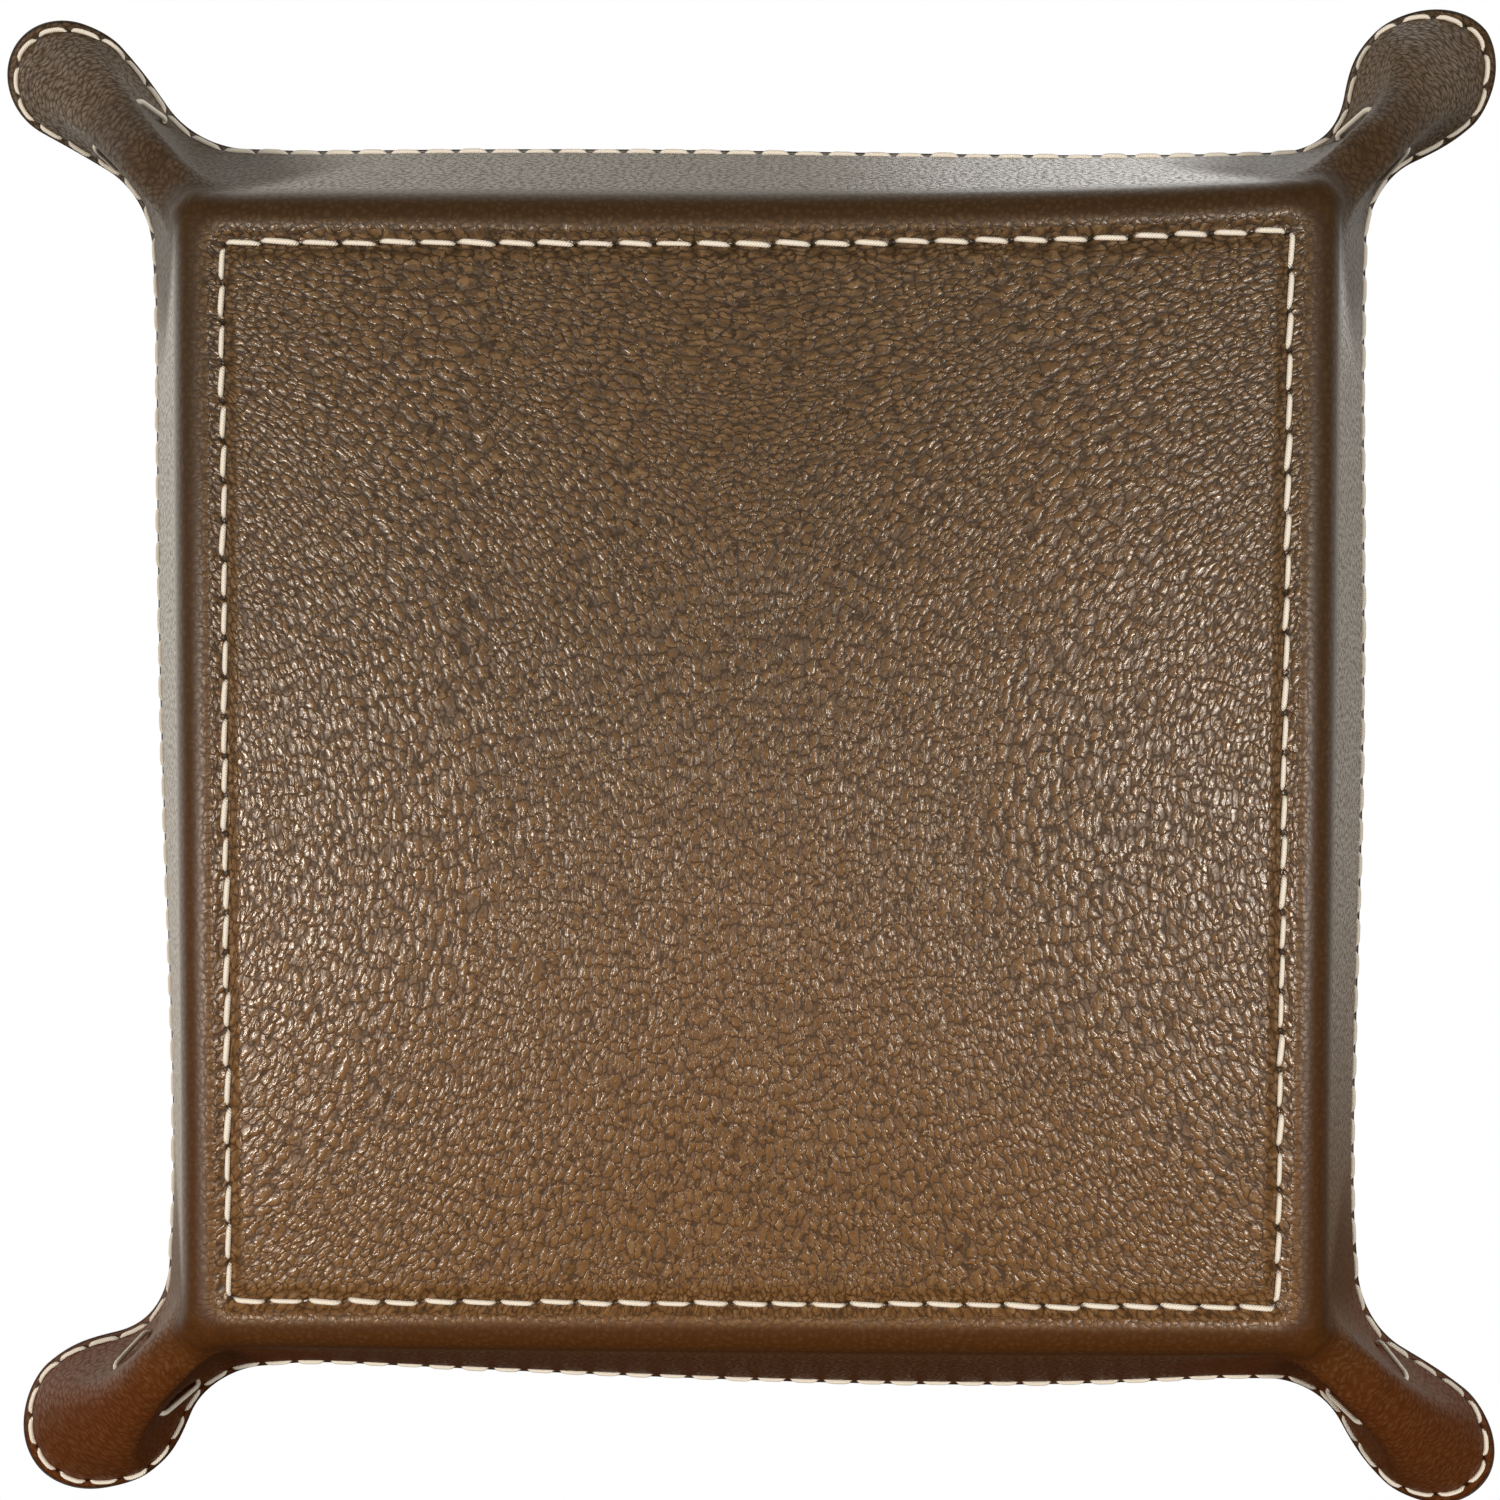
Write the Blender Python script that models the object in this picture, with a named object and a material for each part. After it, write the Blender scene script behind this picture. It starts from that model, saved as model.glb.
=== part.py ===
"""
Square leather tray, folded up from a flat panel of leather and its lining.

The base is a stitched square with a stiff board inside it. Each edge of the panel turns up on
a round fold into a sloping wall. At each corner the spare leather is pinched outwards: a round
column runs up from the base corner, and a tack of thread holds its two sides together just
below the rim. Past the tack the leather opens again into a round, spoon-shaped ear.

Metres, +Z up. The tray stands on z = 0 with its middle on the Z axis and opens upwards.
"""
import math
from collections import namedtuple

import bmesh
import bpy
import numpy as np

# Base and walls
BASE_HALF = 0.0649          # middle of the tray to where the base and wall planes would meet
WALL_HEIGHT = 0.0340        # base to rim, on the outer face
WALL_SPREAD = 0.0153        # how far the rim stands outside the foot of the wall
FOLD_RADIUS = 0.0042        # outer radius of the round fold between base and wall

# Layers
OUTER_THICKNESS = 0.0010
LINING_THICKNESS = 0.0008
BOARD_THICKNESS = 0.0020
CONTACT_GAP = 0.0003        # left between pieces that touch

# Seams
BASE_SEAM_INSET = 0.0049    # stitched square to where the base and wall planes would meet
BASE_SEAM_CORNER = 0.0010   # radius at which the stitched square turns its corners
SEAM_RECESS = 0.00005       # base seam's thread above the plane that the tray stands on
SEAM_BED_WIDTH = 0.0010     # flat bottom of the furrow that the base seam draws in
SEAM_DRAW_WIDTH = 0.0011    # sloping side of that furrow
RIM_SEAM_INSET = 0.0028     # rim seam to the cut edge
THREAD_RADIUS = 0.0003
TACK_RADIUS = 0.0004
TACK_DROP = 0.0048          # tack's upper hole to the cut edge, down the wall
TACK_LENGTH = 0.0088        # between the tack's two holes, down the wall
TACK_SET_OUT = 0.0022       # tack to where the ear's sides start to run side by side

# Corner ears
BASE_CORNER_RADIUS = 0.0026
COLUMN_RADIUS = 0.0032      # round back of the pinched fold
RIM_NECK_HALF = 0.0050      # half the width of the ear's neck at the rim
EAR_RADIUS = 0.0082         # round end of the ear, at the rim
EAR_ANGLE = math.radians(27)
FOOT_FILLET = 0.0070        # hollow between wall and column, low down
RIM_FILLET = 0.0040         # the same hollow at the rim
NECK_RUN = 0.0082           # length over which the ear's sides run side by side, at the rim

# Heights at which the corner changes shape, as shares of the panel's length
COLUMN_SHARE = 0.38         # the base corner has become a column
OPENING_SHARE = 0.30        # the ear begins to open
RUN_SHARE = 0.85            # the sides run side by side for the whole of their length

# How late the ear opens on its way up, as powers of the share still to go
ANGLE_POWER = 2
NOSE_POWER = 4
NECK_POWER = 8

# Grid counts
EAR_STEPS = 8
WALL_STEPS = 1
FOLD_RING_COUNT = 4
WALL_RING_COUNT = 6
TACK_SIDES = 6
SIDE_SAMPLES = 400
HOLE_SIDES = 8
THREAD_SIDES = 4
SEAM_CORNER_STEPS = 3

# Share of a quarter's parameter that lies on the straight wall, and the step for slopes
WALL_PARAMETER_SHARE = 0.3
SLOPE_STEP_SHARE = 1e-4
TINY_ANGLE = 1e-9

# Faces that meet at less than these angles are shaded as one round surface
LEATHER_SMOOTH_ANGLE = math.radians(35)
THREAD_SMOOTH_ANGLE = math.radians(100)

# Values that follow from the sizes above
EIGHTH_TURN = math.pi / 4
QUARTER_TURN = math.pi / 2
FLARE = math.atan2(WALL_SPREAD, WALL_HEIGHT)
FOLD_TURN = QUARTER_TURN - FLARE
FOLD_TANGENT = FOLD_RADIUS * math.tan(FOLD_TURN / 2)
FOLD_LENGTH = FOLD_RADIUS * FOLD_TURN
PANEL_LENGTH = FOLD_LENGTH + math.hypot(WALL_SPREAD, WALL_HEIGHT) - FOLD_TANGENT
FLAT_HALF = BASE_HALF - FOLD_TANGENT
RIM_SEAM_SHARE = 1 - RIM_SEAM_INSET / PANEL_LENGTH
BASE_SEAM_HALF = BASE_HALF - BASE_SEAM_INSET
STACK = OUTER_THICKNESS + CONTACT_GAP + LINING_THICKNESS
LINING_UNDERSIDE = OUTER_THICKNESS + CONTACT_GAP
BOARD_LIFT = BOARD_THICKNESS + CONTACT_GAP
SEAM_SINK = 2 * THREAD_RADIUS + CONTACT_GAP + SEAM_RECESS
BED_INNER = BASE_SEAM_HALF - SEAM_BED_WIDTH / 2
BED_OUTER = BASE_SEAM_HALF + SEAM_BED_WIDTH / 2
FURROW_INNER = BED_INNER - SEAM_DRAW_WIDTH
FURROW_OUTER = BED_OUTER + SEAM_DRAW_WIDTH
BOARD_HALF = FURROW_INNER - CONTACT_GAP - OUTER_THICKNESS / 2
HOLE_RADIUS = TACK_RADIUS + CONTACT_GAP

LEATHER_BROWN = (0.150, 0.082, 0.045, 1.0)
LINING_BROWN = (0.165, 0.092, 0.052, 1.0)
BOARD_GREY = (0.300, 0.270, 0.220, 1.0)
THREAD_CREAM = (0.760, 0.680, 0.540, 1.0)

# One horizontal cut through the outer face. half is the wall's distance from the middle and z
# its height. Towards the corner the cut turns outwards on a fillet, runs beside the diagonal,
# turns by spread to open or close, runs on and ends in a round nose on the diagonal.
Level = namedtuple("Level", "half z spread nose fillet neck_run spread_run")


def clear_scene():
    """Remove every object that a new file comes with."""
    for thing in list(bpy.data.objects):
        bpy.data.objects.remove(thing, do_unlink=True)


def make_material(name, colour, roughness, metallic=0.0):
    """Return a Principled material with one colour and gloss."""
    material = bpy.data.materials.new(name)
    material.use_nodes = True
    shader = material.node_tree.nodes["Principled BSDF"]
    shader.inputs["Base Color"].default_value = colour
    shader.inputs["Roughness"].default_value = roughness
    shader.inputs["Metallic"].default_value = metallic
    material.diffuse_color = colour
    return material


def make_object(name, bm, material, smooth_angle=LEATHER_SMOOTH_ANGLE):
    """Turn a bmesh into a named object, with its faces outwards and its round parts smooth."""
    bmesh.ops.recalc_face_normals(bm, faces=bm.faces)
    mesh = bpy.data.meshes.new(name)
    bm.to_mesh(mesh)
    bm.free()
    mesh.shade_smooth()
    mesh.set_sharp_from_angle(angle=smooth_angle)
    mesh.materials.append(material)
    thing = bpy.data.objects.new(name, mesh)
    bpy.context.scene.collection.objects.link(thing)
    return thing


def ease(share):
    """Rise smoothly from 0 to 1 as the share does."""
    held = np.clip(share, 0.0, 1.0)
    return held * held * (3 - 2 * held)


def wall_level(share):
    """
    Return the cut at a share of the panel's length, from the start of the fold to the rim.

    The fold is an arc and the wall is straight. The base corner's spread starts at minus an
    eighth of a turn, a plain round corner, and reaches zero where the column is whole. From
    there the nose, the neck and the angle between them grow towards the rim, and the sides run
    on at that angle for as long as it takes to get from the neck to the nose.
    """
    share = np.asarray(share, dtype=float)
    along = share * PANEL_LENGTH
    turned = np.clip(along, 0, FOLD_LENGTH) / FOLD_RADIUS
    straight = np.clip(along - FOLD_LENGTH, 0, None)
    half = FLAT_HALF + FOLD_RADIUS * np.sin(turned) + straight * math.sin(FLARE)
    z = FOLD_RADIUS * (1 - np.cos(turned)) + straight * math.cos(FLARE)
    column = ease(share / COLUMN_SHARE)
    opened = np.clip((share - OPENING_SHARE) / (1 - OPENING_SHARE), 0, 1)
    angle = EAR_ANGLE * opened**ANGLE_POWER
    round_back = BASE_CORNER_RADIUS + (COLUMN_RADIUS - BASE_CORNER_RADIUS) * column
    nose = round_back + (EAR_RADIUS - COLUMN_RADIUS) * opened**NOSE_POWER
    neck = round_back + (RIM_NECK_HALF - COLUMN_RADIUS) * opened**NECK_POWER
    fillet = FOOT_FILLET + (RIM_FILLET - FOOT_FILLET) * share
    widening = nose * np.cos(angle) + fillet * (np.cos(angle) - 1) - neck
    return Level(
        half=half,
        z=z,
        spread=angle - EIGHTH_TURN * (1 - column),
        nose=nose,
        fillet=fillet,
        neck_run=NECK_RUN * column * ease(share / RUN_SHARE),
        spread_run=np.where(opened > 0, widening / np.sin(np.maximum(angle, TINY_ANGLE)), 0),
    )


def base_level(half, z, radius):
    """Return a plain rounded square in the base."""
    return Level(half, z, -EIGHTH_TURN, radius, FOOT_FILLET, 0.0, 0.0)


def wall_end(level):
    """Return how far from the diagonal the straight wall ends, measured across the diagonal."""
    first = np.minimum(level.spread, 0)
    return (
        level.nose * np.cos(level.spread)
        - level.spread_run * np.sin(level.spread)
        - level.neck_run * np.sin(first)
        + level.fillet * (np.cos(level.spread) - math.cos(EIGHTH_TURN))
    )


def neck_place(level):
    """Return where the sides start to run side by side, out along the diagonal, and half how
    far apart they are there."""
    end = wall_end(level)
    out = math.sqrt(2) * level.half - end + level.fillet * math.sin(EIGHTH_TURN)
    return out, end - level.fillet * (1 - math.cos(EIGHTH_TURN))


def arc_step(length, radius, heading, side):
    """Return the out and across parts of a walk along an arc, turning left where side is 1."""
    turned = heading + side * length / radius
    out = side * radius * (np.sin(turned) - np.sin(heading))
    across = -side * radius * (np.cos(turned) - np.cos(heading))
    return out, across


def eighth_points(level, parameter):
    """
    Return x and y along one level, from the middle of the +Y wall to the nose on the diagonal.

    The parameter runs from 0 to 1. Its first stretch is the straight wall, and the rest is
    spread evenly over the length of the corner.
    """
    end = wall_end(level)
    first = np.minimum(level.spread, 0)
    lengths = [
        level.fillet * (first + EIGHTH_TURN),
        level.neck_run + 0 * end,
        level.fillet * (level.spread - first),
        level.spread_run + 0 * end,
        level.nose * (QUARTER_TURN + level.spread),
    ]
    walked = np.clip((parameter - WALL_PARAMETER_SHARE) / (1 - WALL_PARAMETER_SHARE), 0, 1)
    walked = walked * sum(lengths)
    headings = [-EIGHTH_TURN, first, first, level.spread, level.spread]
    radii = [level.fillet, None, level.fillet, None, level.nose]
    sides = [1, 0, 1, 0, -1]
    out = math.sqrt(2) * level.half - end
    across = end
    for length, heading, radius, side in zip(lengths, headings, radii, sides):
        here = np.clip(walked, 0, length)
        walked = walked - here
        if side == 0:
            step_out = here * np.cos(heading)
            step_across = here * np.sin(heading)
        else:
            step_out, step_across = arc_step(here, radius, heading, side)
        out = out + step_out
        across = across + step_across
    x = (out - across) / math.sqrt(2)
    y = (out + across) / math.sqrt(2)
    on_wall = np.clip(parameter / WALL_PARAMETER_SHARE, 0, 1)
    straight = level.half - math.sqrt(2) * end
    return np.where(parameter < WALL_PARAMETER_SHARE, straight * on_wall, x), y


def quarter_points(level, parameter):
    """Return points from the middle of the +Y wall, parameter 0, to the +X wall's, 2."""
    folded = 1 - np.abs(1 - parameter)
    x, y = eighth_points(level, folded)
    swapped = parameter > 1
    z = level.z + 0 * x
    return np.stack([np.where(swapped, y, x), np.where(swapped, x, y), z], axis=-1)


def quarter_normals(share, parameter):
    """Return the sheet's unit normals on the inner side, from its slopes both ways."""
    ahead = quarter_points(wall_level(share), parameter + SLOPE_STEP_SHARE)
    behind = quarter_points(wall_level(share), parameter - SLOPE_STEP_SHARE)
    above = quarter_points(wall_level(np.minimum(share + SLOPE_STEP_SHARE, 1)), parameter)
    below = quarter_points(wall_level(np.maximum(share - SLOPE_STEP_SHARE, 0)), parameter)
    normal = np.cross(ahead - behind, above - below)
    return normal / np.linalg.norm(normal, axis=-1, keepdims=True)


def quarter_parameters():
    """Return the parameters of one quarter's points, closer together round the corner."""
    wall = np.linspace(0, WALL_PARAMETER_SHARE, WALL_STEPS, endpoint=False)
    ear = np.linspace(WALL_PARAMETER_SHARE, 1, EAR_STEPS, endpoint=False)
    eighth = np.concatenate([wall, ear])
    back = 2 - eighth[:0:-1]
    return np.concatenate([eighth, [1.0], back])


def whole_ring(points):
    """Repeat one quarter's points round the Z axis."""
    quarters = []
    for quarter in range(4):
        angle = -quarter * QUARTER_TURN
        turn = np.array([
            [math.cos(angle), math.sin(angle), 0],
            [-math.sin(angle), math.cos(angle), 0],
            [0, 0, 1],
        ])
        quarters.append(points @ turn)
    return np.concatenate(quarters)


def wall_ring(share, offset):
    """Return a closed ring at a share of the panel, offset towards the inside of the tray."""
    parameter = quarter_parameters()
    points = quarter_points(wall_level(share), parameter)
    return whole_ring(points + offset * quarter_normals(share, parameter))


def base_ring(half, z, radius):
    """Return a closed rounded square in the base."""
    return whole_ring(quarter_points(base_level(half, z, radius), quarter_parameters()))


def wall_shares():
    """
    Return the shares at which the panel has rings: close in the fold, wider up the wall.

    One ring lies under the rim seam, so that the thread follows the leather's faces.
    """
    fold_share = FOLD_LENGTH / PANEL_LENGTH
    fold = np.linspace(0, fold_share, FOLD_RING_COUNT)
    wall = np.linspace(fold_share, RIM_SEAM_SHARE, WALL_RING_COUNT)
    return np.concatenate([fold, wall[1:], [1.0]])


def panel_surface(offset, lift):
    """
    Return one face of a panel as rings, from the middle of the base out to the rim.

    offset is the face's distance from the tray's outer face, and lift raises the part of the
    base inside the seam, where the board lies below it.
    """
    bed = SEAM_SINK + offset
    rings = [
        base_ring(FURROW_INNER, offset + lift, BASE_SEAM_CORNER),
        base_ring(BED_INNER, bed, BASE_SEAM_CORNER),
        base_ring(BED_OUTER, bed, BASE_SEAM_CORNER),
        base_ring(FURROW_OUTER, offset, BASE_SEAM_CORNER + SEAM_DRAW_WIDTH / 2),
    ]
    rings += [wall_ring(share, offset) for share in wall_shares()]
    return rings


def bridge(bm, ring_a, ring_b):
    """
    Join two rings of vertices by pairs of triangles.

    Every pair is split the same way, so that two faces of leather that lie one over the other
    bend on the same lines and keep their distance.
    """
    count = len(ring_a)
    for index in range(count):
        after = (index + 1) % count
        bm.faces.new((ring_a[index], ring_a[after], ring_b[after]))
        bm.faces.new((ring_a[index], ring_b[after], ring_b[index]))


def make_panel(name, offset, thickness, lift, material):
    """Make one leather panel as a closed skin between two faces that follow the same fold."""
    bm = bmesh.new()
    under = [[bm.verts.new(p) for p in ring] for ring in panel_surface(offset, lift)]
    upper = [[bm.verts.new(p) for p in ring] for ring in panel_surface(offset + thickness, lift)]
    for face in (under, upper):
        bm.faces.new(face[0])
        for ring_a, ring_b in zip(face, face[1:]):
            bridge(bm, ring_a, ring_b)
    bridge(bm, under[-1], upper[-1])
    return make_object(name, bm, material)


def make_board(material):
    """Make the stiff board between the two panels, inside the stitched square."""
    bm = bmesh.new()
    bmesh.ops.create_cube(bm, size=1)
    low = LINING_UNDERSIDE
    for vertex in bm.verts:
        vertex.co.x *= 2 * BOARD_HALF
        vertex.co.y *= 2 * BOARD_HALF
        vertex.co.z = low + (vertex.co.z + 1 / 2) * BOARD_THICKNESS
    upright = [edge for edge in bm.edges if edge.verts[0].co.z != edge.verts[1].co.z]
    bmesh.ops.bevel(bm, geom=upright, offset=BASE_SEAM_CORNER, segments=SEAM_CORNER_STEPS,
                    affect="EDGES", profile=1 / 2)
    return make_object("base_board", bm, material)


def make_loop(name, path, sides_way, radius, sides, material):
    """
    Make a closed loop of thread along a path.

    sides_way is a direction for each point, across the path. The thread's round section is
    built on it and on the direction square to both.
    """
    path = np.asarray(path)
    along = np.roll(path, -1, axis=0) - np.roll(path, 1, axis=0)
    along /= np.linalg.norm(along, axis=1, keepdims=True)
    first = sides_way - along * np.sum(sides_way * along, axis=1, keepdims=True)
    first /= np.linalg.norm(first, axis=1, keepdims=True)
    second = np.cross(along, first)
    bm = bmesh.new()
    angles = 2 * QUARTER_TURN * (2 * np.arange(sides) + 1) / sides
    rings = []
    for point, a, b in zip(path, first, second):
        ring = [point + radius * (a * math.cos(angle) + b * math.sin(angle)) for angle in angles]
        rings.append([bm.verts.new(p) for p in ring])
    for ring_a, ring_b in zip(rings, rings[1:] + rings[:1]):
        bridge(bm, ring_a, ring_b)
    return make_object(name, bm, material, smooth_angle=THREAD_SMOOTH_ANGLE)


def base_seam_path(z):
    """Return the stitched square at one height, with its corners turned on small arcs."""
    turn = np.linspace(0, QUARTER_TURN, SEAM_CORNER_STEPS + 1)
    inset = BASE_SEAM_HALF - BASE_SEAM_CORNER
    corner = np.stack([
        inset + BASE_SEAM_CORNER * np.sin(turn),
        inset + BASE_SEAM_CORNER * np.cos(turn),
        np.full_like(turn, z),
    ], axis=1)
    return whole_ring(corner)


def make_base_seam(material):
    """Lay one thread in the furrow under the base and one on the lining above it."""
    under = SEAM_SINK - CONTACT_GAP - THREAD_RADIUS
    above = SEAM_SINK + STACK + CONTACT_GAP + THREAD_RADIUS
    for name, z in (("base_seam_thread_outside", under), ("base_seam_thread_inside", above)):
        path = base_seam_path(z)
        up = np.tile([0.0, 0.0, 1.0], (len(path), 1))
        make_loop(name, path, up, THREAD_RADIUS, THREAD_SIDES, material)


def make_rim_seam(material):
    """Run one thread round the outer face and one round the lining, below the cut edge."""
    parameter = quarter_parameters()
    normals = whole_ring(quarter_normals(RIM_SEAM_SHARE, parameter))
    clear = CONTACT_GAP + THREAD_RADIUS
    for name, offset in (("rim_seam_thread_outside", -clear),
                         ("rim_seam_thread_inside", STACK + clear)):
        path = wall_ring(RIM_SEAM_SHARE, offset)
        make_loop(name, path, normals, THREAD_RADIUS, THREAD_SIDES, material)


def side_half(share, out):
    """Return how far from the diagonal an ear's side stands, at a distance out along it."""
    parameter = np.linspace(WALL_PARAMETER_SHARE, 1, SIDE_SAMPLES)
    x, y = eighth_points(wall_level(share), parameter)
    far = (x + y) / math.sqrt(2)
    tip = int(np.argmax(far)) + 1
    return float(np.interp(out, far[:tip], ((y - x) / math.sqrt(2))[:tip]))


def tack_place():
    """
    Return the tack's distance out along the diagonal, and for its upper and its lower hole the
    height and half the loop's width.

    At each hole the loop clears the widest part of the leather within reach of the thread.
    """
    drops = (TACK_DROP, TACK_DROP + TACK_LENGTH)
    shares = [1 - drop / PANEL_LENGTH for drop in drops]
    out = float(neck_place(wall_level(shares[0]))[0]) + TACK_SET_OUT
    reach = HOLE_RADIUS / PANEL_LENGTH
    holes = []
    for share in shares:
        widest = max(side_half(share + up * reach, out + beside * HOLE_RADIUS)
                     for up in (-1, 1) for beside in (-1, 1))
        holes.append((float(wall_level(share).z), widest + CONTACT_GAP + TACK_RADIUS))
    return out, holes


def diagonal_frame(turns):
    """Return the outward and sideways directions of one corner, a number of quarters round."""
    angle = EIGHTH_TURN + turns * QUARTER_TURN
    out = np.array([math.cos(angle), math.sin(angle), 0.0])
    return out, np.array([-math.sin(angle), math.cos(angle), 0.0])


def make_tack(name, turns, material):
    """Make one upright loop of thread that passes twice through both sides of an ear."""
    place, ((top, top_half), (foot, foot_half)) = tack_place()
    out, across = diagonal_frame(turns)
    upward = np.array([0.0, 0.0, 1.0])
    places = [out * place + across * half + upward * z for half, z in (
        (top_half, top), (-top_half, top), (-foot_half, foot), (foot_half, foot))]
    bend = CONTACT_GAP + TACK_RADIUS
    path = []
    for k, corner in enumerate(places):
        before, after = places[k - 1] - corner, places[(k + 1) % 4] - corner
        start = corner + before * bend / np.linalg.norm(before)
        end = corner + after * bend / np.linalg.norm(after)
        for step in range(SEAM_CORNER_STEPS + 1):
            share = step / SEAM_CORNER_STEPS
            path.append((1 - share)**2 * start + 2 * share * (1 - share) * corner
                        + share**2 * end)
    make_loop(name, path, np.tile(out, (len(path), 1)), TACK_RADIUS, TACK_SIDES, material)


def make_hole_cutter():
    """Make the round bars that cut the tacks' holes, two across each ear."""
    place, holes = tack_place()
    bm = bmesh.new()
    angles = np.arange(HOLE_SIDES) * 2 * math.pi / HOLE_SIDES
    for turns in range(4):
        out, across = diagonal_frame(turns)
        for z, half_width in holes:
            ends = []
            for side in (-1, 1):
                centre = out * place + across * side * (half_width + TACK_RADIUS)
                centre = centre + np.array([0.0, 0.0, z])
                ring = []
                for angle in angles:
                    rim = out * math.cos(angle) + np.array([0.0, 0.0, math.sin(angle)])
                    ring.append(bm.verts.new(centre + rim * HOLE_RADIUS))
                ends.append(ring)
                bm.faces.new(ring)
            bridge(bm, ends[0], ends[1])
    cutter = make_object("tack_hole_cutter", bm, bpy.data.materials["thread"])
    cutter.hide_render = True
    cutter.display_type = "WIRE"
    return cutter


def pierce(panel, cutter):
    """Cut the tacks' holes through a panel."""
    holes = panel.modifiers.new("tack_holes", "BOOLEAN")
    holes.operation = "DIFFERENCE"
    holes.solver = "EXACT"
    holes.object = cutter


def main():
    """Build the tray's pieces in order, from the outer leather inwards."""
    clear_scene()
    leather = make_material("outer_leather", LEATHER_BROWN, 0.48)
    lining = make_material("lining_leather", LINING_BROWN, 0.52)
    board = make_material("board", BOARD_GREY, 0.90)
    thread = make_material("thread", THREAD_CREAM, 0.70)
    outer_panel = make_panel("outer_leather", 0.0, OUTER_THICKNESS, 0.0, leather)
    lining_panel = make_panel("lining_leather", LINING_UNDERSIDE, LINING_THICKNESS,
                              BOARD_LIFT, lining)
    make_board(board)
    make_base_seam(thread)
    make_rim_seam(thread)
    corner_names = ("back_right", "back_left", "front_left", "front_right")
    for turns, corner in enumerate(corner_names):
        make_tack("corner_tack_" + corner, turns, thread)
    cutter = make_hole_cutter()
    for panel in (outer_panel, lining_panel):
        pierce(panel, cutter)


main()
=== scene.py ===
"""
Square leather desk tray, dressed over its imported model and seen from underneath.

Two panels of pebbled leather lie one on the other round a board, sewn together in a square on
the base and again along the rim. The walls turn up on a round fold, and the spare leather of
each corner is pinched outwards into an ear that a tack of thread holds. Metres, +Z up, with the
tray standing on z = 0.
"""
import logging
import math
from dataclasses import dataclass, field
from enum import Enum
from typing import Any, NamedTuple, Sequence

import bpy
import numpy as np
from mathutils import Matrix, Vector


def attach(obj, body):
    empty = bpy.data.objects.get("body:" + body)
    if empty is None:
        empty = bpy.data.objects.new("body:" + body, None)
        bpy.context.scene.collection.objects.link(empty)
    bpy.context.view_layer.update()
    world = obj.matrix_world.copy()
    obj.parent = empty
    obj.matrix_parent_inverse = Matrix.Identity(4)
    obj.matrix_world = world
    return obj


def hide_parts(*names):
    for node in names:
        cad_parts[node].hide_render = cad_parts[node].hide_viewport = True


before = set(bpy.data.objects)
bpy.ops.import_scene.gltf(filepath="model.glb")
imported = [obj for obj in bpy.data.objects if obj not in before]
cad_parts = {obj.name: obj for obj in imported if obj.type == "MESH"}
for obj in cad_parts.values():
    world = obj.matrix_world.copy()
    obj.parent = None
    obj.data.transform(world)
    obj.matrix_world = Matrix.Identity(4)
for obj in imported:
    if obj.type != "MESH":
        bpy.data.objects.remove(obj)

LOG = logging.getLogger("leather_tray")
MM = 0.001
EIGHTH_TURN = math.pi / 4
QUARTER_TURN = math.pi / 2
ROOT_TWO = math.sqrt(2)
NEAR_MIDDLE = 1 * MM


# Shader sums


class Value:
    """A number that a node gives, with the sums that can be written on it."""

    def __init__(self, graph: "Graph", socket: bpy.types.NodeSocket) -> None:
        """Keep the socket and the graph that it is in."""
        self.graph = graph
        self.socket = socket

    def __add__(self, other: "Value | float") -> "Value":
        """Add."""
        return self.graph.math("ADD", self, other)

    __radd__ = __add__

    def __sub__(self, other: "Value | float") -> "Value":
        """Subtract."""
        return self.graph.math("SUBTRACT", self, other)

    def __rsub__(self, other: "Value | float") -> "Value":
        """Subtract this from a number."""
        return self.graph.math("SUBTRACT", other, self)

    def __mul__(self, other: "Value | float") -> "Value":
        """Multiply."""
        return self.graph.math("MULTIPLY", self, other)

    __rmul__ = __mul__

    def __truediv__(self, other: "Value | float") -> "Value":
        """Divide."""
        return self.graph.math("DIVIDE", self, other)

    def __abs__(self) -> "Value":
        """Drop the sign."""
        return self.graph.math("ABSOLUTE", self)

    def above(self, limit: float) -> "Value":
        """Give 1 where this is above a limit, else 0."""
        return self.graph.math("GREATER_THAN", self, limit)

    def ease(self, low: float, high: float) -> "Value":
        """Rise smoothly from 0 at low to 1 at high."""
        node = self.graph.node(
            "ShaderNodeMapRange",
            {"interpolation_type": "SMOOTHSTEP"},
            {"Value": self, "From Min": low, "From Max": high},
        )
        return Value(self.graph, node.outputs["Result"])


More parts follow.
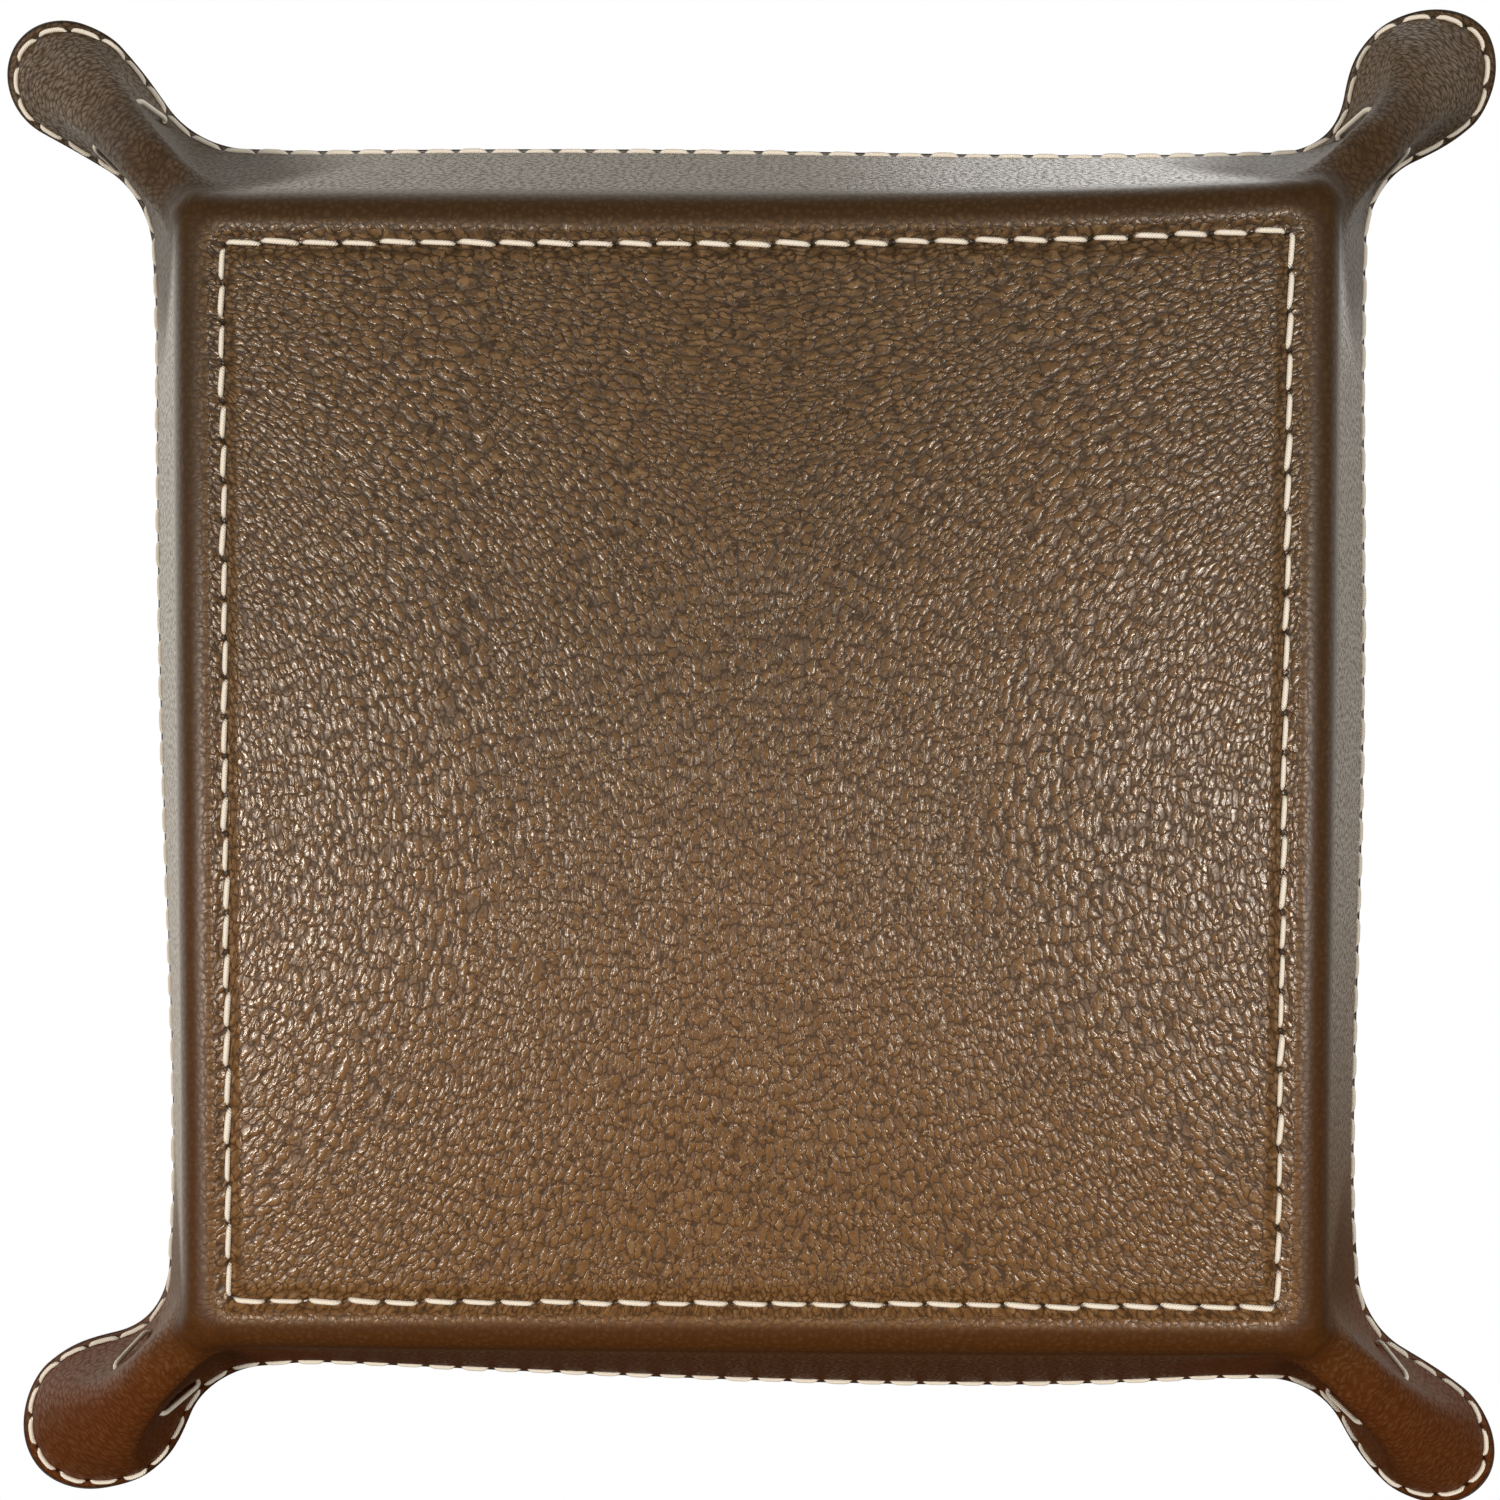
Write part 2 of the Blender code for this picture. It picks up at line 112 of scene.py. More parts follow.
class Graph:
    """A material's or the world's nodes."""

    def __init__(self, tree: bpy.types.NodeTree) -> None:
        """Empty the tree."""
        self.tree = tree
        tree.nodes.clear()

    def node(self, kind: str, settings: dict[str, Any] | None = None,
             inputs: dict[str | int, Any] | None = None) -> bpy.types.Node:
        """
        Add a node.

        Args:
            kind: Blender's name for the type of node.
            settings: The node's own settings, which are set first.
            inputs: What goes into its sockets: values, sockets or Values.

        Returns:
            The node.
        """
        node = self.tree.nodes.new(kind)
        for name, setting in (settings or {}).items():
            setattr(node, name, setting)
        for name, value in (inputs or {}).items():
            source = value.socket if isinstance(value, Value) else value
            if isinstance(source, bpy.types.NodeSocket):
                self.tree.links.new(source, node.inputs[name])
            else:
                node.inputs[name].default_value = source
        return node

    def math(self, operation: str, *values: "Value | float") -> Value:
        """Do one sum on values and numbers."""
        node = self.node("ShaderNodeMath", {"operation": operation}, dict(enumerate(values)))
        return Value(self, node.outputs[0])

    def vector(self, operation: str, *values: Any) -> bpy.types.NodeSocket:
        """Do one sum on vectors."""
        node = self.node("ShaderNodeVectorMath", {"operation": operation},
                         dict(enumerate(values)))
        return node.outputs[0]

    def scaled(self, vector: bpy.types.NodeSocket, factors: Sequence[float]
               ) -> bpy.types.NodeSocket:
        """Multiply a vector by a factor each way."""
        return self.vector("MULTIPLY", vector, tuple(factors))

    def dot(self, vector: bpy.types.NodeSocket, direction: Sequence[float]) -> Value:
        """Measure a vector along a direction."""
        node = self.node("ShaderNodeVectorMath", {"operation": "DOT_PRODUCT"},
                         {0: vector, 1: tuple(direction)})
        return Value(self, node.outputs["Value"])

    def join(self, x: "Value | float", y: "Value | float", z: "Value | float" = 0.0
             ) -> bpy.types.NodeSocket:
        """Make a vector of three numbers."""
        return self.node("ShaderNodeCombineXYZ", {}, {0: x, 1: y, 2: z}).outputs[0]

    def noise(self, vector: bpy.types.NodeSocket, scale: float, detail: float = 2.0,
              roughness: float = 0.5) -> Value:
        """
        Give smooth noise between 0 and 1.

        Args:
            vector: The place.
            scale: How many swells there are to one unit of the place.
            detail: How many finer layers are added.
            roughness: How strong each finer layer is beside the last.

        Returns:
            The noise.
        """
        node = self.node("ShaderNodeTexNoise", {"noise_dimensions": "3D"},
                         {"Vector": vector, "Scale": scale, "Detail": detail,
                          "Roughness": roughness})
        return Value(self, node.outputs["Fac"])

    def cells(self, vector: bpy.types.NodeSocket, feature: str, randomness: float) -> Value:
        """
        Give the distance to one of scattered points, on cells of size 1.

        Args:
            vector: The place, of which the first two numbers count.
            feature: F1 for the nearest point, F2 for the next.
            randomness: How far the points stray, up to 1.

        Returns:
            The distance.
        """
        node = self.node("ShaderNodeTexVoronoi",
                         {"voronoi_dimensions": "2D", "feature": feature},
                         {"Vector": vector, "Scale": 1.0, "Randomness": randomness})
        return Value(self, node.outputs["Distance"])

    def mix(self, share: "Value | float", first: Any, second: Any, blend: str = "MIX"
            ) -> bpy.types.NodeSocket:
        """
        Mix two colours or places.

        Args:
            share: How much of the second goes in.
            first: The first.
            second: The second.
            blend: Blender's name for the way they mix.

        Returns:
            The mixture.
        """
        node = self.node("ShaderNodeMix", {"data_type": "RGBA", "blend_type": blend},
                         {0: share, 6: first, 7: second})
        return node.outputs[2]

    def bump(self, height: Value, distance: float) -> bpy.types.NodeSocket:
        """Tilt the surface as a height says, where a height of 1 is the distance."""
        node = self.node("ShaderNodeBump", {},
                         {"Height": height, "Distance": distance, "Strength": 1.0})
        return node.outputs[0]

    def map(self, name: str) -> bpy.types.NodeSocket:
        """Read one of the piece's own maps."""
        return self.node("ShaderNodeUVMap", {"uv_map": name}).outputs[0]

    def attribute(self, name: str) -> Value:
        """Read a number that the piece's mesh carries."""
        node = self.node("ShaderNodeAttribute", {"attribute_name": name})
        return Value(self, node.outputs["Fac"])


def new_material(name: str) -> tuple[bpy.types.Material, Graph]:
    """Make a material with an empty graph."""
    material = bpy.data.materials.new(name)
    material.use_nodes = True
    return material, Graph(material.node_tree)


def finish_surface(graph: Graph, shader: bpy.types.NodeSocket) -> None:
    """Join a shader to the material's output."""
    graph.node("ShaderNodeOutputMaterial", {}, {"Surface": shader})


def shaded(graph: Graph, colour: bpy.types.NodeSocket, shade: Value) -> bpy.types.NodeSocket:
    """Darken or lighten a colour by a factor."""
    return graph.mix(1.0, colour, graph.join(shade, shade, shade), "MULTIPLY")


def rgba(colour: Sequence[float]) -> tuple[float, float, float, float]:
    """Give a colour its fourth number."""
    return (*colour, 1.0)


# Finishes


class Grain(NamedTuple):
    """A sort of grain: its height from 0 to 1, and 1 in the creases between its pebbles."""

    height: Value
    crease: Value


@dataclass(frozen=True)
class LeatherFinish:
    """
    Finely pebbled leather.

    The pebbles are the cells round scattered points. On the base they are drawn out along the
    lines that the leather was stretched along, and on the folds they are pulled smooth. Their
    tops are paler, partly as the leather's own tone and partly as a painted highlight, and the
    creases and pits between them are darkened as painted shade. The colour is also darker at the
    back and lighter and redder at the front, darkest on the front wall, as painted shade and
    light, and darker where the leather is pulled smooth, partly as its own tone and partly as
    painted shade. Where it is worked by hand, at the corners and ears, it is duller. A noise's
    scale is its number of swells to a metre, and a limit on the flat panel is in millimetres.
    """

    name: str
    # The leather's browns at the back and the front: the back is darker and the front lighter and
    # redder, as painted shade and light
    back_shaded_brown: tuple[float, float, float]
    front_lit_red_brown: tuple[float, float, float]
    # pulled and pulled_red_with_shade: the darker colour where the leather is pulled smooth, on the
    # fold band and at the corners, partly its own tone and partly painted shade
    pulled: tuple[float, float, float] = (0.044, 0.021, 0.006)
    pulled_red_with_shade: tuple[float, float, float] = (0.068, 0.023, 0.003)
    # front: the darker, redder colour of the front wall and front ears, painted shade
    front: tuple[float, float, float] = (0.112, 0.028, 0.004)
    # pale: the pebbles' paler tops, partly their own tone and partly a painted highlight
    pale: tuple[float, float, float] = (0.400, 0.250, 0.135)
    pale_tone_and_highlight_share: float = 0.38
    front_wall_shade_share: float = 0.85
    # pit_shade, crease_shade and hole_shade darken the colour in the pits, creases and stitch
    # holes, as painted shade
    pit_shade: float = 0.10
    crease_shade: float = 0.56
    fine_shade: float = 0.7
    hole_shade: float = 0.8
    # wrinkle_shade: painted light and shade, lighter on the wrinkles' crests and darker in their
    # troughs
    wrinkle_shade: float = 0.7
    depth: float = 0.094 * MM
    fine_relief: float = 0.18
    swell_relief: float = 1.6
    wrinkle_relief: float = 1.6
    hole_relief: float = 1.1
    scatter: float = 0.9
    roll_share: float = 0.52
    dome_share: float = 0.45
    crease_width: float = 0.26
    crease_depth: float = 0.16
    pebble: float = 0.90 * MM
    draw: float = 2.0
    sizes: tuple[float, float, float] = (2.10, 1.18, 0.64)
    size_limits: tuple[float, float] = (0.72, 1.18)
    pushes: tuple[tuple[float, float], ...] = ((0.30 / MM, 1.4), (1.3 / MM, 0.8))
    roughness: float = 0.20
    pit_roughness: float = 0.30
    fine_roughness: float = 0.06
    smooth_roughness: float = 0.22
    dull_roughness: float = 0.25
    gloss: float = 0.5
    dull_gloss: float = 0.08
    dulling: float = 0.80
    crease_dulling: float = 0.5
    hole_radius: float = 0.30 * MM
    pitch: float = 4.444 * MM

    def make(self) -> bpy.types.Material:
        """Build the material."""
        material, graph = new_material(self.name)
        flat = graph.map("flat")
        kept = graph.attribute("grain")
        pinched = graph.attribute("crease")
        drift = graph.vector("ADD", *(self._push(graph, flat, *push) for push in self.pushes))
        grain = self._grain(graph, flat, drift)
        fine = graph.noise(flat, 2.2 / MM, 2.0, 0.6)
        swell = graph.noise(flat, 0.06 / MM, 2.0)
        hole = self._holes(graph)
        wrinkles = self._wrinkles(graph, flat, pinched)
        relief = grain.height * kept + (fine - 0.5) * self.fine_relief * (kept + 0.15)
        relief = relief + swell * self.swell_relief + wrinkles * self.wrinkle_relief
        relief = relief - hole * self.hole_relief
        colour = self._colour(graph, flat, grain, kept, fine, hole)
        # Painted light and shade: the colour is lighter on the wrinkles' crests and darker in their
        # troughs
        colour = shaded(graph, colour, 1 + wrinkles * self.wrinkle_shade)
        low = 1 - grain.height.ease(0.1, 0.8)
        rough = self.roughness + low * kept * self.pit_roughness
        rough = rough + (fine - 0.5) * self.fine_roughness + (1 - kept) * self.smooth_roughness
        tilted = graph.bump(relief, self.depth)
        glossy, dull = (graph.node("ShaderNodeBsdfPrincipled", {}, {
            "Base Color": colour, "Roughness": rough + more, "IOR": 1.5, "Normal": tilted,
            "Specular IOR Level": level,
        }).outputs[0] for more, level in
            ((0.0, self.gloss), (self.dull_roughness, self.dull_gloss)))
        worked = graph.attribute("worked") * self.dulling
        worked = worked + grain.crease * kept * self.crease_dulling
        finish_surface(graph, graph.node("ShaderNodeMixShader", {}, {
            0: worked, 1: glossy, 2: dull}).outputs[0])
        return material

    @staticmethod
    def _push(graph: Graph, flat: bpy.types.NodeSocket, scale: float, cells: float
              ) -> bpy.types.NodeSocket:
        """
        Give a random push in the panel's plane.

        Args:
            graph: The material's graph.
            flat: The place on the flat panel.
            scale: The noise's scale.
            cells: Twice the furthest push, in cells.

        Returns:
            The push.
        """
        first = graph.noise(flat, scale, 1.0)
        second = graph.noise(graph.vector("ADD", flat, (7.7, 3.1, 0.0)), scale, 1.0)
        return graph.scaled(graph.join(first - 0.5, second - 0.5), (cells, cells, 0.0))

    def _grain(self, graph: Graph, flat: bpy.types.NodeSocket, drift: bpy.types.NodeSocket
               ) -> Grain:
        """
        Give the grain.

        Drawn-out pebbles are cells on the piece's stretch map, which come in three sizes that
        follow each other as the map grows finer. Elsewhere they are cells on the flat panel. One
        sort gives way to the next at a ragged line.

        Args:
            graph: The material's graph.
            flat: The place on the flat panel.
            drift: A random push that is added to the place, in cells.

        Returns:
            The grain.
        """
        ragged = (graph.noise(flat, 0.16 / MM, 2.0) - 0.5) * 0.5
        ragged = ragged + (graph.noise(flat, 0.9 / MM, 1.0) - 0.5) * 0.35
        size = graph.attribute("stretch_size") + ragged
        fine = self.sizes[0] - sum(
            size.above(limit) * (coarse - finer)
            for limit, coarse, finer in zip(self.size_limits, self.sizes, self.sizes[1:]))
        behind = (graph.attribute("behind") + ragged).above(0.5)
        stretch = graph.mix(behind, graph.map("stretch"), graph.map("stretch_behind"))
        drawn = graph.vector("MULTIPLY", stretch, graph.join(fine / self.draw, fine))
        plain = graph.scaled(flat, (1 / self.pebble, 1 / self.pebble, 0))
        stretched = (graph.attribute("drawn") + ragged * 0.8).above(0.5)
        return self._cells(graph, graph.mix(stretched, plain, drawn), drift)

    def _cells(self, graph: Graph, place: bpy.types.NodeSocket, drift: bpy.types.NodeSocket
               ) -> Grain:
        """
        Give one sort of grain, on cells of size 1.

        The height is part a dome round each cell's point and part rolling noise, less a crease
        where the next point is as near.

        Args:
            graph: The material's graph.
            place: The place, in cells.
            drift: A random push that is added to it.

        Returns:
            The grain.
        """
        moved = graph.vector("ADD", place, drift)
        near = graph.cells(moved, "F1", self.scatter)
        edge = graph.cells(moved, "F2", self.scatter) - near
        crease = 1 - edge.ease(0.0, self.crease_width)
        roll = (graph.noise(moved, 1.5, 2.0, 0.5) - 0.5) * 2.4 + 0.6
        dome = 1 - near.ease(0.12, 0.72)
        height = roll * self.roll_share + dome * self.dome_share - crease * self.crease_depth
        return Grain(height, crease)

    @staticmethod
    def _wrinkles(graph: Graph, flat: bpy.types.NodeSocket, pinched: Value) -> Value:
        """
        Give the fine folds that cross the pinched corners, square to the diagonal.

        Args:
            graph: The material's graph.
            flat: The place on the flat panel.
            pinched: How creased the leather is.

        Returns:
            The folds' height.
        """
        folded = graph.vector("ABSOLUTE", flat)
        close, long = 0.62 / MM / ROOT_TWO, 0.13 / MM / ROOT_TWO
        out = graph.dot(folded, (close, close, 0.0))
        across = graph.dot(folded, (-long, long, 0.0))
        return (graph.noise(graph.join(out, across), 1.0, 2.0, 0.55) - 0.5) * pinched * 0.9

    def _holes(self, graph: Graph) -> Value:
        """Give 1 in the stitch holes and 0 off them, from the seam map."""
        seam = graph.map("seam")
        run = graph.math("FRACT", graph.dot(seam, (1.0, 0.0, 0.0)) + 0.5) - 0.5
        off = graph.dot(seam, (0.0, 1.0 / MM, 0.0))
        far = graph.math("SQRT", run * run * (self.pitch / MM) ** 2 + off * off)
        return 1 - far.ease(self.hole_radius / MM * 0.5, self.hole_radius / MM * 1.8)

    def _colour(self, graph: Graph, flat: bpy.types.NodeSocket, grain: Grain, kept: Value,
                fine: Value, hole: Value) -> bpy.types.NodeSocket:
        """
        Give the leather's colour, with painted light and shade in it.

        It is darker at the back and lighter and redder towards the front, as painted shade and
        light, with random patches. The front wall and front ears are darker and redder, as painted
        shade.
        Where the leather is pulled smooth it is darker, partly its own tone and partly painted
        shade.
        The pebbles' tops are paler, partly their own tone and partly a painted highlight. The
        creases, pits and stitch holes are darkened as painted shade, the holes nearly to black.

        Args:
            graph: The material's graph.
            flat: The place on the flat panel.
            grain: The grain.
            kept: How much of the grain the leather keeps.
            fine: Fine noise.
            hole: 1 in the stitch holes.

        Returns:
            The colour.
        """
        patch = graph.noise(graph.scaled(flat, (1.0, 0.7, 1.0)), 0.022 / MM, 2.0)
        forward = graph.dot(flat, (0.0, -1 / MM, 0.0))
        # Painted light and shade: the colour runs from the darker back brown to the lighter, redder
        # front brown, with random patches
        redder_and_lit_to_front = (forward + (patch - 0.5) * 90).ease(-65, 75)
        colour = graph.mix(redder_and_lit_to_front, rgba(self.back_shaded_brown), rgba(self.front_lit_red_brown))
        smooth = graph.mix(redder_and_lit_to_front, rgba(self.pulled), rgba(self.pulled_red_with_shade))
        # Where the leather keeps little grain, the colour goes to the darker pulled colour: partly
        # its own tone, partly painted shade on the fold band and the corners
        colour = graph.mix(kept.ease(0.1, 0.65), smooth, colour)
        # Painted shade: the front wall and front ears take the darker front colour
        colour = graph.mix(forward.ease(61, 78) * self.front_wall_shade_share, colour, rgba(self.front))
        # Partly the leather's own tone, partly a painted highlight: the pebbles' tops are paler
        high = grain.height.ease(0.42, 1.05)
        colour = graph.mix(high * kept * self.pale_tone_and_highlight_share, colour, rgba(self.pale))
        shade = 1 + (fine - 0.5) * self.fine_shade * kept
        # Painted shade: the pits, the creases and the stitch holes are darkened
        shade = shade * (1 - (1 - grain.height.ease(0.05, 0.60)) * kept * self.pit_shade)
        shade = shade * (1 - grain.crease * kept * self.crease_shade)
        shade = shade * (1 - hole * self.hole_shade)
        return shaded(graph, colour, shade)


@dataclass(frozen=True)
class ThreadFinish:
    """Waxed thread of a few plies, twisted."""

    name: str
    cream: tuple[float, float, float] = (0.93, 0.87, 0.77)
    shadow: tuple[float, float, float] = (0.60, 0.48, 0.37)
    twist: float = 0.95 * MM
    plies: int = 3

    def make(self) -> bpy.types.Material:
        """Build the material."""
        material, graph = new_material(self.name)
        thread = graph.map("thread")
        turns = graph.dot(thread, (self.plies / self.twist, float(self.plies), 0.0))
        ply = graph.math("SINE", turns * (2 * math.pi)) * 0.5 + 0.5
        groove = 1 - ply.ease(0.0, 0.45)
        fibre = graph.noise(graph.scaled(thread, (1 / MM, 9.0, 1.0)), 2.5, 2.0)
        # Painted shadow: the grooves between the plies take the shadow colour
        colour = graph.mix(groove * 0.55 + (fibre - 0.5) * 0.3, rgba(self.cream),
                           rgba(self.shadow))
        normal = graph.bump(ply + fibre * 0.3, 0.05 * MM)
        shader = graph.node("ShaderNodeBsdfPrincipled", {}, {
            "Base Color": colour, "Roughness": 0.55 + fibre * 0.15, "Normal": normal,
            "Sheen Weight": 0.15,
        })
        finish_surface(graph, shader.outputs[0])
        return material


@dataclass(frozen=True)
class EdgePaintFinish:
    """Paint on the cut edges, in thin coats."""

    name: str
    colour: tuple[float, float, float] = (0.022, 0.013, 0.009)
    worn: tuple[float, float, float] = (0.055, 0.033, 0.022)

    def make(self) -> bpy.types.Material:
        """Build the material."""
        material, graph = new_material(self.name)
        place = graph.node("ShaderNodeTexCoord").outputs["Object"]
        patch = graph.noise(place, 0.35 / MM, 3.0, 0.6)
        fine = graph.noise(place, 2.4 / MM, 2.0)
        colour = graph.mix(patch.ease(0.45, 0.75) * 0.7, rgba(self.colour), rgba(self.worn))
        shader = graph.node("ShaderNodeBsdfPrincipled", {}, {
            "Base Color": colour, "Roughness": 0.42 + patch * 0.22,
            "Normal": graph.bump(fine * 0.6 + patch, 0.06 * MM),
        })
        finish_surface(graph, shader.outputs[0])
        return material


@dataclass(frozen=True)
class BoardFinish:
    """Pressed fibre board, inside the tray."""

    name: str
    grey: tuple[float, float, float] = (0.300, 0.270, 0.220)
    fleck: tuple[float, float, float] = (0.160, 0.135, 0.105)

    def make(self) -> bpy.types.Material:
        """Build the material."""
        material, graph = new_material(self.name)
        place = graph.node("ShaderNodeTexCoord").outputs["Object"]
        fibre = graph.noise(graph.scaled(place, (1.0, 0.25, 1.0)), 1.6 / MM, 4.0, 0.7)
        colour = graph.mix(fibre.ease(0.45, 0.7), rgba(self.grey), rgba(self.fleck))
        shader = graph.node("ShaderNodeBsdfPrincipled", {}, {
            "Base Color": colour, "Roughness": 0.85 + (fibre - 0.5) * 0.2,
            "Normal": graph.bump(fibre, 0.08 * MM),
        })
        finish_surface(graph, shader.outputs[0])
        return material


# Meshes from grids of points


class Skin:
    """A mesh that is put together from grids of points."""

    def __init__(self) -> None:
        """Start with nothing."""
        self.points: list[np.ndarray] = []
        self.faces: list[list[int]] = []
        self.maps: dict[str, list[np.ndarray]] = {}
        self.values: dict[str, list[np.ndarray]] = {}
        self.count = 0

    def add_grids(self, points: np.ndarray, close_rows: bool, close_columns: bool,
                  maps: dict[str, np.ndarray], values: dict[str, np.ndarray] | None = None
                  ) -> np.ndarray:
        """
        Add grids of the same size, joined into four-sided faces.

        Args:
            points: Points by grid, row and column.
            close_rows: Whether the last row joins the first.
            close_columns: Whether the last column joins the first.
            maps: For each map, two numbers by grid, row and column, with one more row or column
                than the points where that way is closed.
            values: For each attribute, a number by grid, row and column.

        Returns:
            The points' numbers in the mesh, by grid, row and column.
        """
        shape = points.shape[:3]
        index = np.arange(math.prod(shape)).reshape(shape) + self.count
        self.count += math.prod(shape)
        self.points.append(points.reshape(-1, 3))
        here = self._grown(index, close_rows, close_columns)
        quads = self._corners(here)
        self.faces += quads.reshape(-1, 4).tolist()
        for name, array in maps.items():
            self.maps.setdefault(name, []).append(self._corners(array).reshape(-1, 2))
        for name, array in (values or {}).items():
            self.values.setdefault(name, []).append(array.reshape(-1))
        return index

    @staticmethod
    def _grown(index: np.ndarray, close_rows: bool, close_columns: bool) -> np.ndarray:
        """Repeat the first row or column after the last."""
        if close_rows:
            index = np.concatenate([index, index[:, :1]], axis=1)
        if close_columns:
            index = np.concatenate([index, index[:, :, :1]], axis=2)
        return index

    @staticmethod
    def _corners(array: np.ndarray) -> np.ndarray:
        """Give the four corners of each cell of a grid, in order round it."""
        return np.stack([array[:, :-1, :-1], array[:, :-1, 1:], array[:, 1:, 1:],
                         array[:, 1:, :-1]], axis=3)

    def add_lids(self, rings: np.ndarray, maps: Sequence[str]) -> None:
        """Close open ends with one flat face for each ring of points' numbers."""
        self.faces += rings.tolist()
        for name in maps:
            self.maps[name].append(np.zeros((rings.size, 2)))

    def add_fan(self, ring: np.ndarray, point: np.ndarray, maps: dict[str, np.ndarray],
                centre: dict[str, np.ndarray], values: dict[str, float]) -> None:
        """
        Close a ring with triangles to one point.

        Args:
            ring: The ring's numbers in the mesh, in order.
            point: The point.
            maps: Each map's numbers round the ring, with the first again at the end.
            centre: Each map's numbers at the point.
            values: Each attribute's number at the point.
        """
        top = self.count
        self.count += 1
        self.points.append(np.asarray(point, dtype=float).reshape(1, 3))
        after = np.roll(ring, -1)
        self.faces += np.stack([ring, np.full_like(ring, top), after], axis=1).tolist()
        for name, array in maps.items():
            middle = np.broadcast_to(centre[name], array[:-1].shape)
            self.maps[name].append(np.stack([array[:-1], middle, array[1:]], 1).reshape(-1, 2))
        for name, value in values.items():
            self.values[name].append(np.array([value]))

    def make(self, name: str, material: bpy.types.Material) -> bpy.types.Object:
        """
        Put the points and faces into a mesh, with its faces outwards.

        Args:
            name: The piece's name.
            material: Its material.

        Returns:
            The new object, at the origin.
        """
        points = np.concatenate(self.points)
        mesh = bpy.data.meshes.new(name)
        mesh.from_pydata(points.tolist(), [], self.faces)
        for map_name, arrays in self.maps.items():
            layer = mesh.uv_layers.new(name=map_name)
            layer.data.foreach_set("uv", np.concatenate(arrays).astype(np.float32).ravel())
        for value_name, arrays in self.values.items():
            layer = mesh.attributes.new(value_name, "FLOAT", "POINT")
            layer.data.foreach_set("value", np.concatenate(arrays).astype(np.float32))
        mesh.calc_loop_triangles()
        corners = np.empty(len(mesh.loop_triangles) * 3, dtype=np.int32)
        mesh.loop_triangles.foreach_get("vertices", corners)
        a, b, c = (points[corners[k::3]] for k in range(3))
        if np.sum(a * np.cross(b, c)) < 0:
            mesh.flip_normals()
        mesh.shade_smooth()
        mesh.materials.append(material)
        thing = bpy.data.objects.new(name, mesh)
        bpy.context.scene.collection.objects.link(thing)
        return thing


def unit(vectors: np.ndarray) -> np.ndarray:
    """Bring vectors to length 1."""
    length = np.linalg.norm(vectors, axis=-1, keepdims=True)
    return vectors / np.maximum(length, 1e-12)


def ease(share: np.ndarray) -> np.ndarray:
    """Rise smoothly from 0 to 1 as the share does."""
    held = np.clip(share, 0.0, 1.0)
    return held * held * (3 - 2 * held)


def add_tubes(skin: Skin, path: np.ndarray, radius: np.ndarray, up: np.ndarray, sides: int,
              closed: bool) -> None:
    """
    Add threads of round section along paths.

    A point of the section stands off the path by the radius times the cosine of its angle along
    one direction across the path and the sine along the other.

    Args:
        skin: The mesh to add to.
        path: Points by thread and step.
        radius: Radii by thread and step.
        up: Directions across the path, by thread and step.
        sides: How many sides the section has.
        closed: Whether each path comes back to its start.
    """
    if closed:
        ahead, behind = np.roll(path, -1, axis=1), np.roll(path, 1, axis=1)
    else:
        ahead = np.concatenate([path[:, 1:], path[:, -1:]], axis=1)
        behind = np.concatenate([path[:, :1], path[:, :-1]], axis=1)
    along = unit(ahead - behind)
    first = unit(up - along * np.sum(up * along, axis=-1, keepdims=True))
    second = np.cross(along, first)
    angle = (np.arange(sides) * 2 * math.pi / sides)[None, None, :, None]
    ring = first[:, :, None] * np.cos(angle) + second[:, :, None] * np.sin(angle)
    points = path[:, :, None] + ring * radius[:, :, None, None]
    steps = np.linalg.norm(np.diff(path, axis=1), axis=-1)
    walked = np.concatenate([np.zeros((len(path), 1)), np.cumsum(steps, axis=1)], axis=1)
    if closed:
        last = walked[:, -1:] + np.linalg.norm(path[:, :1, :] - path[:, -1:, :], axis=-1)
        walked = np.concatenate([walked, last], axis=1)
    around = np.linspace(0, 1, sides + 1)
    maps = np.stack(np.broadcast_arrays(walked[:, :, None], around[None, None, :]), axis=-1)
    index = skin.add_grids(points, closed, True, {"thread": maps})
    if not closed:
        skin.add_lids(index[:, 0, ::-1], ["thread"])
        skin.add_lids(index[:, -1], ["thread"])


# The folded leather's shape


class Level(NamedTuple):
    """
    One horizontal cut through the outer face.

    The cut runs along a straight wall, turns outwards on a fillet, runs beside the diagonal,
    turns by spread to open or close, runs on and ends in a round nose on the diagonal.
    """

    half: np.ndarray
    z: np.ndarray
    spread: np.ndarray
    nose: np.ndarray
    fillet: np.ndarray
    neck_run: np.ndarray
    spread_run: np.ndarray


class Corner(Enum):
    """The tray's corners, by their signs along X and Y."""

    BACK_RIGHT = (1, 1)
    BACK_LEFT = (-1, 1)
    FRONT_LEFT = (-1, -1)
    FRONT_RIGHT = (1, -1)

    @property
    def eighths(self) -> tuple[int, int]:
        """The two eighths of the tray that meet at the corner."""
        first = {(1, 1): 0, (1, -1): 2, (-1, -1): 4, (-1, 1): 6}[self.value]
        return first, first + 1


class Wall(Enum):
    """The tray's walls, by the axis across them and their sign on it."""

    BACK = (1, 1)
    RIGHT = (0, 1)
    FRONT = (1, -1)
    LEFT = (0, -1)


@dataclass(frozen=True)
class EarHabit:
    """
    How a hand-pinched ear stands apart from the plain one.

    swell is the share that it is wider and lean how far it leans aside, at its neck, middle and
    tip. reach is how much further its tip stands out.
    """

    swell: tuple[float, float, float]
    lean: tuple[float, float, float]
    reach: float


@dataclass(frozen=True)
class WallHabit:
    """How far a wall's rim bows out, swings to one end and waves, in metres."""

    bow: float
    swing: float
    wave: float


